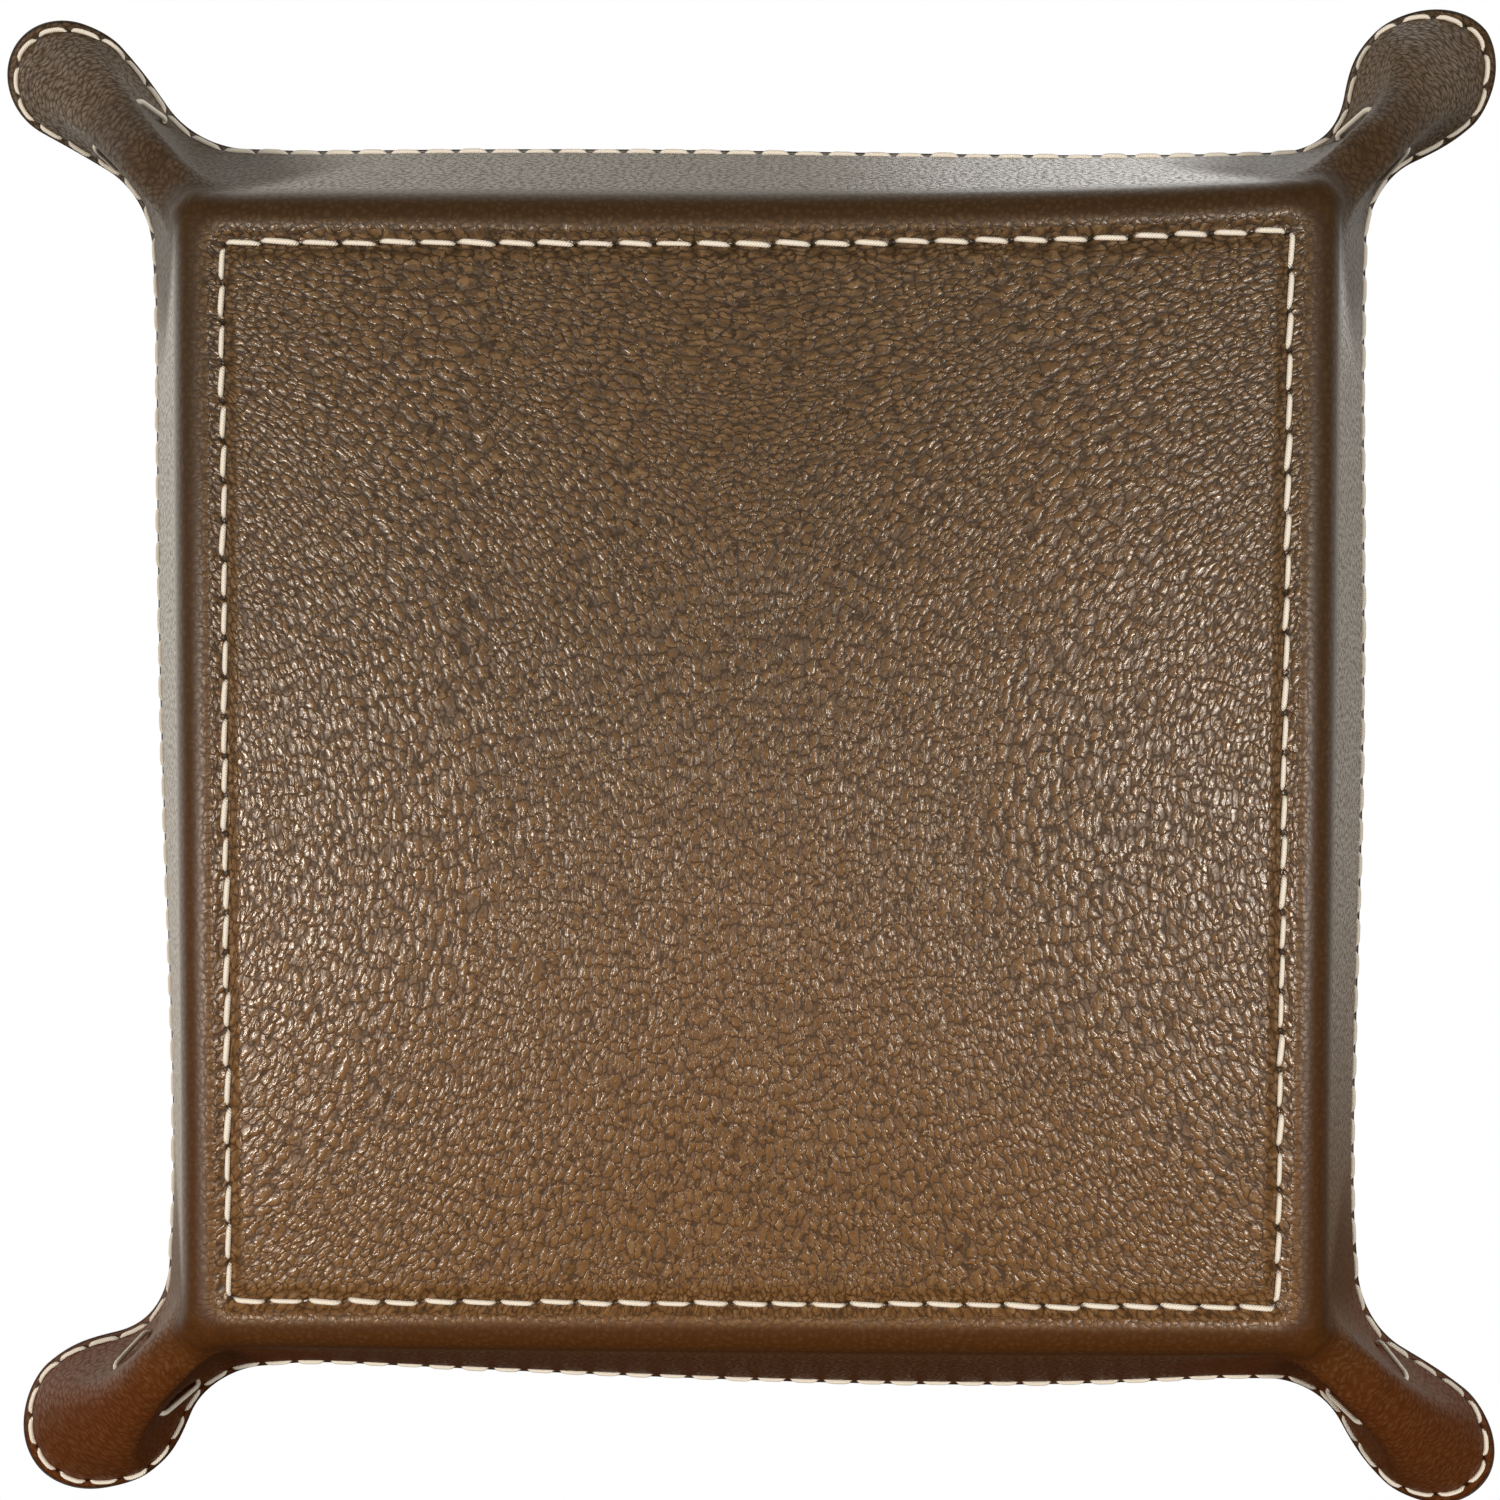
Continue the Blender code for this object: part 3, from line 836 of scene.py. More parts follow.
@dataclass(frozen=True)
class TrayShape:
    """
    The outer face of the folded panel, and what lies at a distance inside it.

    reach is the distance along the leather from the middle of the tray outwards, and turn goes
    round the tray from 0 to 8: its whole part counts eighths from the middle of the back wall,
    and the rest is the share of the eighth's length.
    """

    base_half: float = 64.9 * MM
    wall_height: float = 34.0 * MM
    wall_spread: float = 15.3 * MM
    fold_radius: float = 4.2 * MM
    outer_thickness: float = 1.0 * MM
    lining_thickness: float = 0.8 * MM
    gap: float = 0.3 * MM
    board_thickness: float = 2.0 * MM
    base_seam_half: float = 60.0 * MM
    seam_corner: float = 1.0 * MM
    seam_sink: float = 0.95 * MM
    furrow_width: float = 1.1 * MM
    board_inset: float = 0.5 * MM
    board_slope: float = 1.5 * MM
    rim_seam_inset: float = 1.45 * MM
    rim_sink: float = 0.20 * MM
    rim_furrow_width: float = 0.9 * MM
    base_corner: float = 2.6 * MM
    column: float = 3.2 * MM
    rim_neck: float = 5.0 * MM
    ear_nose: float = 8.34 * MM
    ear_angle: float = math.radians(15.4)
    foot_fillet: float = 7.0 * MM
    rim_fillet: float = 12.0 * MM
    column_share: float = 0.38
    opening_share: float = 0.30
    rim_stretch: float = 0.0403
    tack_drops: tuple[float, float] = (4.8 * MM, 13.6 * MM)
    tack_outs: dict[Corner, tuple[float, float]] = field(default_factory=lambda: {
        Corner.BACK_RIGHT: (113.4 * MM, 113.6 * MM),
        Corner.BACK_LEFT: (109.7 * MM, 111.4 * MM),
        Corner.FRONT_LEFT: (110.5 * MM, 112.4 * MM),
        Corner.FRONT_RIGHT: (109.7 * MM, 112.0 * MM),
    })
    tack_pinch: float = 0.65 * MM
    tack_pinch_width: float = 1.1 * MM
    tack_pinch_end: float = 0.16
    ears: dict[Corner, EarHabit] = field(default_factory=lambda: {
        Corner.BACK_RIGHT: EarHabit(
            (0.124, 0.010, -0.099), (0.05 * MM, -0.10 * MM, -1.40 * MM), 0.18 * MM),
        Corner.BACK_LEFT: EarHabit(
            (-0.019, 0.276, -0.057), (-0.07 * MM, 1.42 * MM, 1.25 * MM), -2.20 * MM),
        Corner.FRONT_LEFT: EarHabit(
            (0.139, 0.097, -0.155), (0.37 * MM, 0.49 * MM, -0.07 * MM), -0.07 * MM),
        Corner.FRONT_RIGHT: EarHabit(
            (0.160, 0.431, 0.002), (0.82 * MM, -0.10 * MM, -1.32 * MM), 0.34 * MM),
    })
    ear_places: tuple[float, float, float] = (110 * MM, 121 * MM, 132 * MM)
    ear_bell: float = 8 * MM
    ear_side: float = 14 * MM
    tip_start: float = 104 * MM
    tip_run: float = 32 * MM
    walls: dict[Wall, WallHabit] = field(default_factory=lambda: {
        Wall.BACK: WallHabit(-0.30 * MM, 1.69 * MM, -0.25 * MM),
        Wall.RIGHT: WallHabit(-0.92 * MM, 1.68 * MM, -0.56 * MM),
        Wall.FRONT: WallHabit(3.43 * MM, -2.08 * MM, 0.28 * MM),
        Wall.LEFT: WallHabit(-1.19 * MM, 0.60 * MM, -0.77 * MM),
    })
    rim_shift: tuple[float, float] = (-0.38 * MM, 0.72 * MM)
    base_skew: dict[Corner, tuple[float, float]] = field(default_factory=lambda: {
        Corner.BACK_RIGHT: (-0.30 * MM, 0.00 * MM),
        Corner.BACK_LEFT: (-0.04 * MM, 0.75 * MM),
        Corner.FRONT_LEFT: (0.55 * MM, -0.20 * MM),
        Corner.FRONT_RIGHT: (-0.14 * MM, -0.14 * MM),
    })
    back_sag: float = 0.85 * MM
    sag_lean: float = 0.7

    @property
    def flare(self) -> float:
        """The wall's lean off upright."""
        return math.atan2(self.wall_spread, self.wall_height)

    @property
    def fold_length(self) -> float:
        """Length of leather in the fold."""
        return self.fold_radius * (QUARTER_TURN - self.flare)

    @property
    def flat_half(self) -> float:
        """Middle of the tray to where the fold starts."""
        return self.base_half - self.fold_radius * math.tan((QUARTER_TURN - self.flare) / 2)

    @property
    def panel_length(self) -> float:
        """Length of leather from the start of the fold to the rim."""
        slope = math.hypot(self.wall_spread, self.wall_height)
        return self.fold_length + slope - (self.base_half - self.flat_half)

    @property
    def rim_reach(self) -> float:
        """Length of leather from the middle to the rim."""
        return self.flat_half + self.panel_length

    @property
    def rim_seam_reach(self) -> float:
        """Length of leather from the middle to the rim seam."""
        return self.rim_reach - self.rim_seam_inset

    @property
    def stack(self) -> float:
        """Thickness of the two panels and the gap between them."""
        return self.outer_thickness + self.gap + self.lining_thickness

    def level(self, reach: np.ndarray) -> Level:
        """
        Give the cut at a distance along the leather.

        In the base it is a rounded square. Up the wall the round corner closes into a column,
        and the nose, neck and angle then grow towards the rim, as powers of the share of the
        way. The run beside the diagonal takes up the length of leather that is left over.

        Args:
            reach: The distance.

        Returns:
            The cut.
        """
        share = np.clip((reach - self.flat_half) / self.panel_length, 0, 1)
        along = share * self.panel_length
        turned = np.minimum(along, self.fold_length) / self.fold_radius
        straight = np.maximum(along - self.fold_length, 0)
        half = np.minimum(reach, self.flat_half) + self.fold_radius * np.sin(turned)
        half = half + straight * math.sin(self.flare)
        z = self.fold_radius * (1 - np.cos(turned)) + straight * math.cos(self.flare)
        column = ease(share / self.column_share)
        opened = np.maximum((share - self.opening_share) / (1 - self.opening_share), 0)
        angle = self.ear_angle * opened**1.5
        foot = self._foot_corner(reach)
        back = foot + (self.column - foot) * column
        nose = back + (self.ear_nose - self.column) * opened**3
        neck = back + (self.rim_neck - self.column) * opened**5
        fillet = self.foot_fillet + (self.rim_fillet - self.foot_fillet) * share**2
        spread = angle - EIGHTH_TURN * (1 - column)
        widening = nose * np.cos(angle) + fillet * (np.cos(angle) - 1) - neck
        run_on = np.where(opened > 0, widening / np.sin(np.maximum(angle, 1e-9)), 0)
        plain = Level(half, z, spread, nose, fillet, 0 * half, run_on)
        leather = reach * (1 + self.rim_stretch * share**2)
        spare = np.maximum(leather - self.eighth_length(plain), 0) * column
        return plain._replace(neck_run=spare)

    def _foot_corner(self, reach: np.ndarray) -> np.ndarray:
        """
        Give the round of the base's corner: small at the seam and wider at the fold.

        Args:
            reach: Distances along the leather.

        Returns:
            The radii.
        """
        outside = (reach - self.base_seam_half) / (self.flat_half - self.base_seam_half)
        small = self.seam_corner * np.clip(reach / self.base_seam_half, 0, 1)
        return small + (self.base_corner - self.seam_corner) * ease(outside)

    @staticmethod
    def wall_end(level: Level) -> np.ndarray:
        """Give how far from the diagonal the straight wall ends."""
        first = np.minimum(level.spread, 0)
        return (
            level.nose * np.cos(level.spread)
            - level.spread_run * np.sin(level.spread)
            - level.neck_run * np.sin(first)
            + level.fillet * (np.cos(level.spread) - math.cos(EIGHTH_TURN))
        )

    def stretches(self, level: Level) -> list[np.ndarray]:
        """Give the lengths of the cut's stretches, from the wall's middle to the nose."""
        first = np.minimum(level.spread, 0)
        return [
            level.half - ROOT_TWO * self.wall_end(level),
            level.fillet * (first + EIGHTH_TURN),
            level.neck_run,
            level.fillet * (level.spread - first),
            level.spread_run,
            level.nose * (QUARTER_TURN + level.spread),
        ]

    def eighth_length(self, level: Level) -> np.ndarray:
        """Give the length of an eighth of the cut."""
        return sum(self.stretches(level))

    def eighth(self, level: Level, walked: np.ndarray) -> tuple[np.ndarray, np.ndarray]:
        """
        Walk a distance along the back wall's right half, from its middle towards the nose.

        A straight stretch steps by its length along its heading. An arc steps by its radius
        times the change of the heading's sine outwards and cosine across.

        Args:
            level: The cut.
            walked: The distance.

        Returns:
            x and y.
        """
        first = np.minimum(level.spread, 0)
        lengths = self.stretches(level)
        on_wall = np.minimum(walked, lengths[0])
        left = np.maximum(walked - lengths[0], 0)
        end = self.wall_end(level)
        out = ROOT_TWO * level.half - end
        across = end
        headings = (-EIGHTH_TURN, first, first, level.spread, level.spread)
        radii = (level.fillet, None, level.fillet, None, level.nose)
        sides = (1, 0, 1, 0, -1)
        for length, heading, radius, side in zip(lengths[1:], headings, radii, sides):
            here = np.minimum(left, length)
            left = left - here
            if side == 0:
                out = out + here * np.cos(heading)
                across = across + here * np.sin(heading)
            else:
                after = heading + side * here / radius
                out = out + side * radius * (np.sin(after) - np.sin(heading))
                across = across - side * radius * (np.cos(after) - np.cos(heading))
        x = np.where(walked < lengths[0], on_wall, (out - across) / ROOT_TWO)
        return x, np.where(walked < lengths[0], level.half, (out + across) / ROOT_TWO)

    def plain(self, reach: np.ndarray, turn: np.ndarray) -> tuple[np.ndarray, np.ndarray]:
        """
        Give points of the plain outer face and their places on the flat panel.

        On the flat panel the walls keep their lengths, and what lies round a corner is drawn
        evenly over the rest of the way to the diagonal.

        Args:
            reach: Distances along the leather.
            turn: Places round the tray.

        Returns:
            The points, and the flat places.
        """
        reach, turn = np.broadcast_arrays(np.asarray(reach, float), np.asarray(turn, float) % 8)
        level = self.level(reach)
        quarter = np.floor(turn / 2)
        local = turn - 2 * quarter
        swapped = local > 1
        length = self.eighth_length(level)
        walked = length * (1 - np.abs(1 - local))
        x, y = self.eighth(level, walked)
        straight = self.stretches(level)[0]
        drawn = straight + (walked - straight) * (reach - straight) / (length - straight)
        flat_x = np.where(walked < straight, walked, drawn)
        flat_y = reach
        angle = -quarter * QUARTER_TURN
        cosine, sine = np.round(np.cos(angle)), np.round(np.sin(angle))
        pair = []
        for u, v in ((x, y), (flat_x, flat_y)):
            a, b = np.where(swapped, v, u), np.where(swapped, u, v)
            pair.append((a * cosine - b * sine, a * sine + b * cosine))
        place = np.stack([pair[0][0], pair[0][1], level.z], axis=-1)
        return place, np.stack(pair[1], axis=-1)

    def settled(self, place: np.ndarray) -> np.ndarray:
        """
        Move points as the hand-made tray's own shape asks, more the higher they lie.

        Near each diagonal a point's distance across it is scaled and shifted by bell curves
        along the ear, and the tip is moved out. Each wall is pushed by a curve that is nought
        at its ends.

        Args:
            place: Points of the plain face.

        Returns:
            The points where they settle.
        """
        x, y, z = (place[..., k].copy() for k in range(3))
        height = z / self.wall_height
        for corner, habit in self.ears.items():
            sign_x, sign_y = corner.value
            inside = (x * sign_x > 0) & (y * sign_y > 0)
            out = (x * sign_x + y * sign_y) / ROOT_TWO
            across = (y * sign_y - x * sign_x) / ROOT_TWO
            bells = [np.exp(-(((out - at) / self.ear_bell) ** 2)) for at in self.ear_places]
            bells[2] = np.where(out > self.ear_places[2], 1.0, bells[2])
            near = np.exp(-((across / self.ear_side) ** 4)) * ease(height) * inside
            swell = sum(a * b for a, b in zip(habit.swell, bells)) * near
            lean = sum(a * b for a, b in zip(habit.lean, bells)) * near
            moved = habit.reach * ease((out - self.tip_start) / self.tip_run) * near
            change = across * swell + lean
            x = x + sign_x * (moved - change) / ROOT_TWO
            y = y + sign_y * (moved + change) / ROOT_TWO
        pushed = [x.copy(), y.copy()]
        for wall, habit in self.walls.items():
            axis, sign = wall.value
            ahead = np.maximum((x, y)[axis] * sign, NEAR_MIDDLE)
            u = np.clip((x, y)[1 - axis] / ahead, -1, 1)
            push = habit.bow + habit.swing * u + habit.wave * (4 * u * u - 1)
            push = push * (1 - u * u) * (ahead > NEAR_MIDDLE)
            pushed[axis] = pushed[axis] + sign * push * height
        return self._skewed(np.stack([pushed[0], pushed[1], z], axis=-1), height)

    def _skewed(self, place: np.ndarray, height: np.ndarray) -> np.ndarray:
        """
        Bring the base a little out of square and shift the rim over it.

        Each corner of the base is moved a little, with the moves between them in proportion,
        and the back's middle sags inwards by a curve that is nought at its ends.

        Args:
            place: The points.
            height: Their shares of the tray's height.

        Returns:
            The moved points.
        """
        x, y, z = (place[..., k] for k in range(3))
        u = np.clip(x / self.base_seam_half, -1, 1)
        v = np.clip(y / self.base_seam_half, -1, 1)
        moved_x, moved_y = self.rim_shift[0] * height, self.rim_shift[1] * height
        for corner, (skew_x, skew_y) in self.base_skew.items():
            sign_x, sign_y = corner.value
            share = (1 + sign_x * u) * (1 + sign_y * v) / 4 * (1 - height)
            moved_x = moved_x + skew_x * share
            moved_y = moved_y + skew_y * share
        sag = self.back_sag * (1 - u * u) * (1 - self.sag_lean * u) * ease(2 * v - 1)
        return np.stack([x + moved_x, y + moved_y - sag * (1 - height), z], axis=-1)

    def face(self, reach: np.ndarray, turn: np.ndarray) -> np.ndarray:
        """Give points of the settled outer face."""
        return self.settled(self.plain(reach, turn)[0])

    def normals(self, reach: np.ndarray, turn: np.ndarray) -> np.ndarray:
        """
        Give the settled face's directions towards the inside of the tray.

        They are the cross product of a short step round the tray and one along the leather.

        Args:
            reach: Distances along the leather.
            turn: Places round the tray.

        Returns:
            The directions, of length 1.
        """
        reach, turn = np.broadcast_arrays(np.asarray(reach, float), np.asarray(turn, float))
        reach = np.maximum(reach, NEAR_MIDDLE)
        step, turn_step = 0.02 * MM, 2e-4
        ahead = self.face(reach, turn + turn_step)
        behind = self.face(reach, turn - turn_step)
        above = self.face(np.minimum(reach + step, self.rim_reach), turn)
        below = self.face(reach - step, turn)
        return unit(np.cross(ahead - behind, above - below))

    def layer(self, reach: np.ndarray, turn: np.ndarray, depth: np.ndarray | float
              ) -> np.ndarray:
        """
        Give points inside the settled outer face.

        Args:
            reach: Distances along the leather.
            turn: Places round the tray.
            depth: How far inside the points lie.

        Returns:
            The points.
        """
        return self.face(reach, turn) + self.normals(reach, turn) * np.expand_dims(depth, -1)

    def furrow(self, reach: np.ndarray) -> np.ndarray:
        """Give how far the base seam draws the leather up, as a bell curve across the seam."""
        off = reach - self.base_seam_half
        return self.seam_sink * np.exp(-((off / self.furrow_width) ** 2))

    def board_lift(self, reach: np.ndarray) -> np.ndarray:
        """Give how far the board lifts the lining, easing off just inside the seam."""
        lift = self.board_thickness + self.gap
        return lift * ease((self.base_seam_half - self.board_inset - reach) / self.board_slope)

    def rim_press(self, reach: np.ndarray) -> np.ndarray:
        """Give how far the rim seam presses into the leather, as a bell curve across it."""
        off = reach - self.rim_seam_reach
        return self.rim_sink * np.exp(-((off / self.rim_furrow_width) ** 2))

    def tack_turn(self, eighth: int, reach: float, out: float) -> float:
        """
        Find where one side of an ear stands at a distance out along its diagonal.

        Args:
            eighth: Which eighth of the tray the side is in.
            reach: The distance along the leather.
            out: The distance out.

        Returns:
            The turn there.
        """
        share = np.linspace(0.30, 0.98, 800)
        turn = eighth + (1 - share if eighth % 2 else share)
        place = self.face(reach, turn)
        far = (np.abs(place[:, 0]) + np.abs(place[:, 1])) / ROOT_TWO
        last = int(np.argmax(far)) + 1
        return float(np.interp(out, far[:last], turn[:last]))

    def tack_holes(self, corner: Corner) -> np.ndarray:
        """
        Give a tack's holes.

        Args:
            corner: The tack's corner.

        Returns:
            The reach and turn of the upper and lower hole, on both sides of the ear.
        """
        sides = []
        for eighth in corner.eighths:
            holes = []
            for drop, out in zip(self.tack_drops, self.tack_outs[corner]):
                reach = self.rim_reach - drop
                holes.append((reach, self.tack_turn(eighth, reach, out)))
            sides.append(holes)
        return np.array(sides)

    def grooves(self) -> np.ndarray:
        """Give the two ends of every groove that a tack draws, just inside its holes."""
        holes = np.concatenate([self.tack_holes(corner) for corner in Corner])
        return self.face(holes[..., 0], holes[..., 1])

    def pinch(self, place: np.ndarray, grooves: np.ndarray) -> np.ndarray:
        """
        Give how far the tacks draw the leather in.

        Round each groove's line the leather is drawn in by a bell curve of the distance off it.

        Args:
            place: Points of the face.
            grooves: The two ends of every groove.

        Returns:
            The distances.
        """
        drawn = np.zeros(place.shape[:-1])
        for near, far in grooves:
            line = far - near
            share = (place - near) @ line / (line @ line)
            share = np.clip(share, self.tack_pinch_end, 1 - self.tack_pinch_end)
            off = np.sum((place - near - share[..., None] * line) ** 2, axis=-1)
            drawn = np.maximum(drawn, np.exp(-off / self.tack_pinch_width**2))
        return self.tack_pinch * drawn


# Pieces


@dataclass(frozen=True)
class Seam:
    """Where a seam's holes are: at places round the tray, at one distance along the leather."""

    reach: float
    holes: np.ndarray
    pitch: float


def base_seam(shape: TrayShape, stitches_a_side: int = 27) -> Seam:
    """
    Space the base seam's holes evenly along each side, with one at each corner.

    Args:
        shape: The tray's shape.
        stitches_a_side: How many stitches a side has.

    Returns:
        The seam.
    """
    reach = shape.base_seam_half
    length = float(shape.eighth_length(shape.level(np.array(reach))))
    share = np.arange(stitches_a_side) / (stitches_a_side / 2) - 1
    side = np.where(share > -1, share * reach / length, -1.0)
    holes = np.concatenate([side + 2 * k for k in range(4)])
    return Seam(reach, np.sort(holes % 8), 2 * reach / stitches_a_side)


def rim_seam(shape: TrayShape, pitch: float = 4.42 * MM) -> Seam:
    """
    Space the rim seam's holes evenly along its whole length.

    Args:
        shape: The tray's shape.
        pitch: About how long a stitch is.

    Returns:
        The seam.
    """
    turn = np.linspace(0, 8, 6401)
    path = shape.face(shape.rim_seam_reach, turn)
    walked = np.concatenate([[0], np.cumsum(np.linalg.norm(np.diff(path, axis=0), axis=1))])
    count = round(walked[-1] / pitch)
    holes = np.interp(np.arange(count) / count * walked[-1], walked, turn)
    return Seam(shape.rim_seam_reach, holes, walked[-1] / count)


@dataclass(frozen=True)
class Stretch:
    """
    How the leather of the base was stretched.

    Seen from below, the lines that it was stretched along part round one place in three ways,
    and bend inwards on both sides further down.
    """

    middle: tuple[float, float] = (0.0, 31.0 * MM)
    bend: float = 2.48e-4
    cell: float = 0.90 * MM
    usual_slope: float = 5.2
    terms: int = 24
    parting: float = math.radians(26)
    parting_fade: float = 0.6
    still: float = 3 * MM
    still_fade: float = 6 * MM

    def map(self, flat: np.ndarray) -> tuple[np.ndarray, np.ndarray, np.ndarray, np.ndarray]:
        """
        Give a map whose first number runs along the lines, in cells.

        With the place from the middle as a complex number, the map's slope is the place's
        square root times the exponential of half the bend times the place's square. The map is
        that slope's sum outwards from the middle, as a series, turned by an eighth. Places are
        in millimetres here.

        Args:
            flat: Places on the flat panel.

        Returns:
            The map, how much finer it is than its usual cell, how far from 0 to 1 the leather is
            stretched, which it isn't by the middle, and 1 straight behind the middle, where the
            map parts, to 0 elsewhere.
        """
        z = ((-flat[..., 0] - self.middle[0]) + 1j * (flat[..., 1] - self.middle[1])) / MM
        far, angle = np.abs(z), np.angle(z)
        angle = np.where(angle > QUARTER_TURN, angle - 2 * math.pi, angle)
        power = far**1.5 * np.exp(1.5j * angle)
        square = z * z * self.bend / 2
        term = np.ones_like(z)
        total = term / 1.5
        for n in range(1, self.terms):
            term = term * square / n
            total = total + term / (2 * n + 1.5)
        usual = self.usual_slope * self.cell / MM
        turned = power * total * np.exp(-1j * EIGHTH_TURN) / usual
        slope = np.sqrt(far) * np.abs(np.exp(square)) / self.usual_slope
        aside = np.abs(np.angle(z / 1j))
        behind = 1 - ease(aside / self.parting - self.parting_fade)
        drawn = ease((far * MM - self.still) / self.still_fade)
        return np.stack([turned.real, turned.imag], axis=-1), slope, drawn, behind


@dataclass(frozen=True)
class Handling:
    """
    Where the leather was pulled smooth and worked by hand.

    A band round the base is pulled smooth over the fold. Each corner is creased and worked, from
    its column outwards, and the back ears keep more of their grain than the front ones.
    """

    band_start: float = 0.8 * MM
    band_rise: float = 2.2 * MM
    band_end: float = 7 * MM
    band_fade: float = 4 * MM
    band_left: float = 0.4
    band_smooth: float = 0.85
    band_worked: float = 0.35
    corner_start: float = 85 * MM
    corner_rise: float = 6 * MM
    corner_side: float = 9 * MM
    corner_fade: float = 14 * MM
    corner_smooth: float = 0.54
    crease_rise: float = 3 * MM
    ear_start: float = 110 * MM
    ear_rise: float = 9 * MM
    ear_uncreased: float = 0.75
    back_ear_kept: float = 0.8
    back_rise: float = 40 * MM

    def marks(self, past: np.ndarray, points: np.ndarray) -> dict[str, np.ndarray]:
        """
        Give how much grain the leather keeps, and how creased and how worked it is.

        Args:
            past: Distances along the leather past the base seam.
            points: The points.

        Returns:
            For each of the three, a number from 0 to 1 for each point.
        """
        x, y = points[..., 0], points[..., 1]
        faded = (1 - self.band_left) * ease((past - self.band_end) / self.band_fade)
        band = ease((past - self.band_start) / self.band_rise) * (1 - faded)
        out = (np.abs(x) + np.abs(y)) / ROOT_TWO
        across = np.abs(np.abs(y) - np.abs(x)) / ROOT_TWO
        corner = ease((out - self.corner_start) / self.corner_rise)
        corner = corner * (1 - ease((across - self.corner_side) / self.corner_fade))
        ear = ease((out - self.ear_start) / self.ear_rise)
        kept = self.back_ear_kept * ear * ease(y / self.back_rise + 0.5)
        return {
            # Less grain also darkens the leather's colour, partly as painted shade on the fold band
            # and the corners
            "grain": (1 - self.band_smooth * band) * (1 - self.corner_smooth * corner * (1 - kept)),
            "crease": corner * (1 - self.ear_uncreased * ear) * ease(past / self.crease_rise),
            "worked": np.maximum(corner, self.band_worked * band),
        }


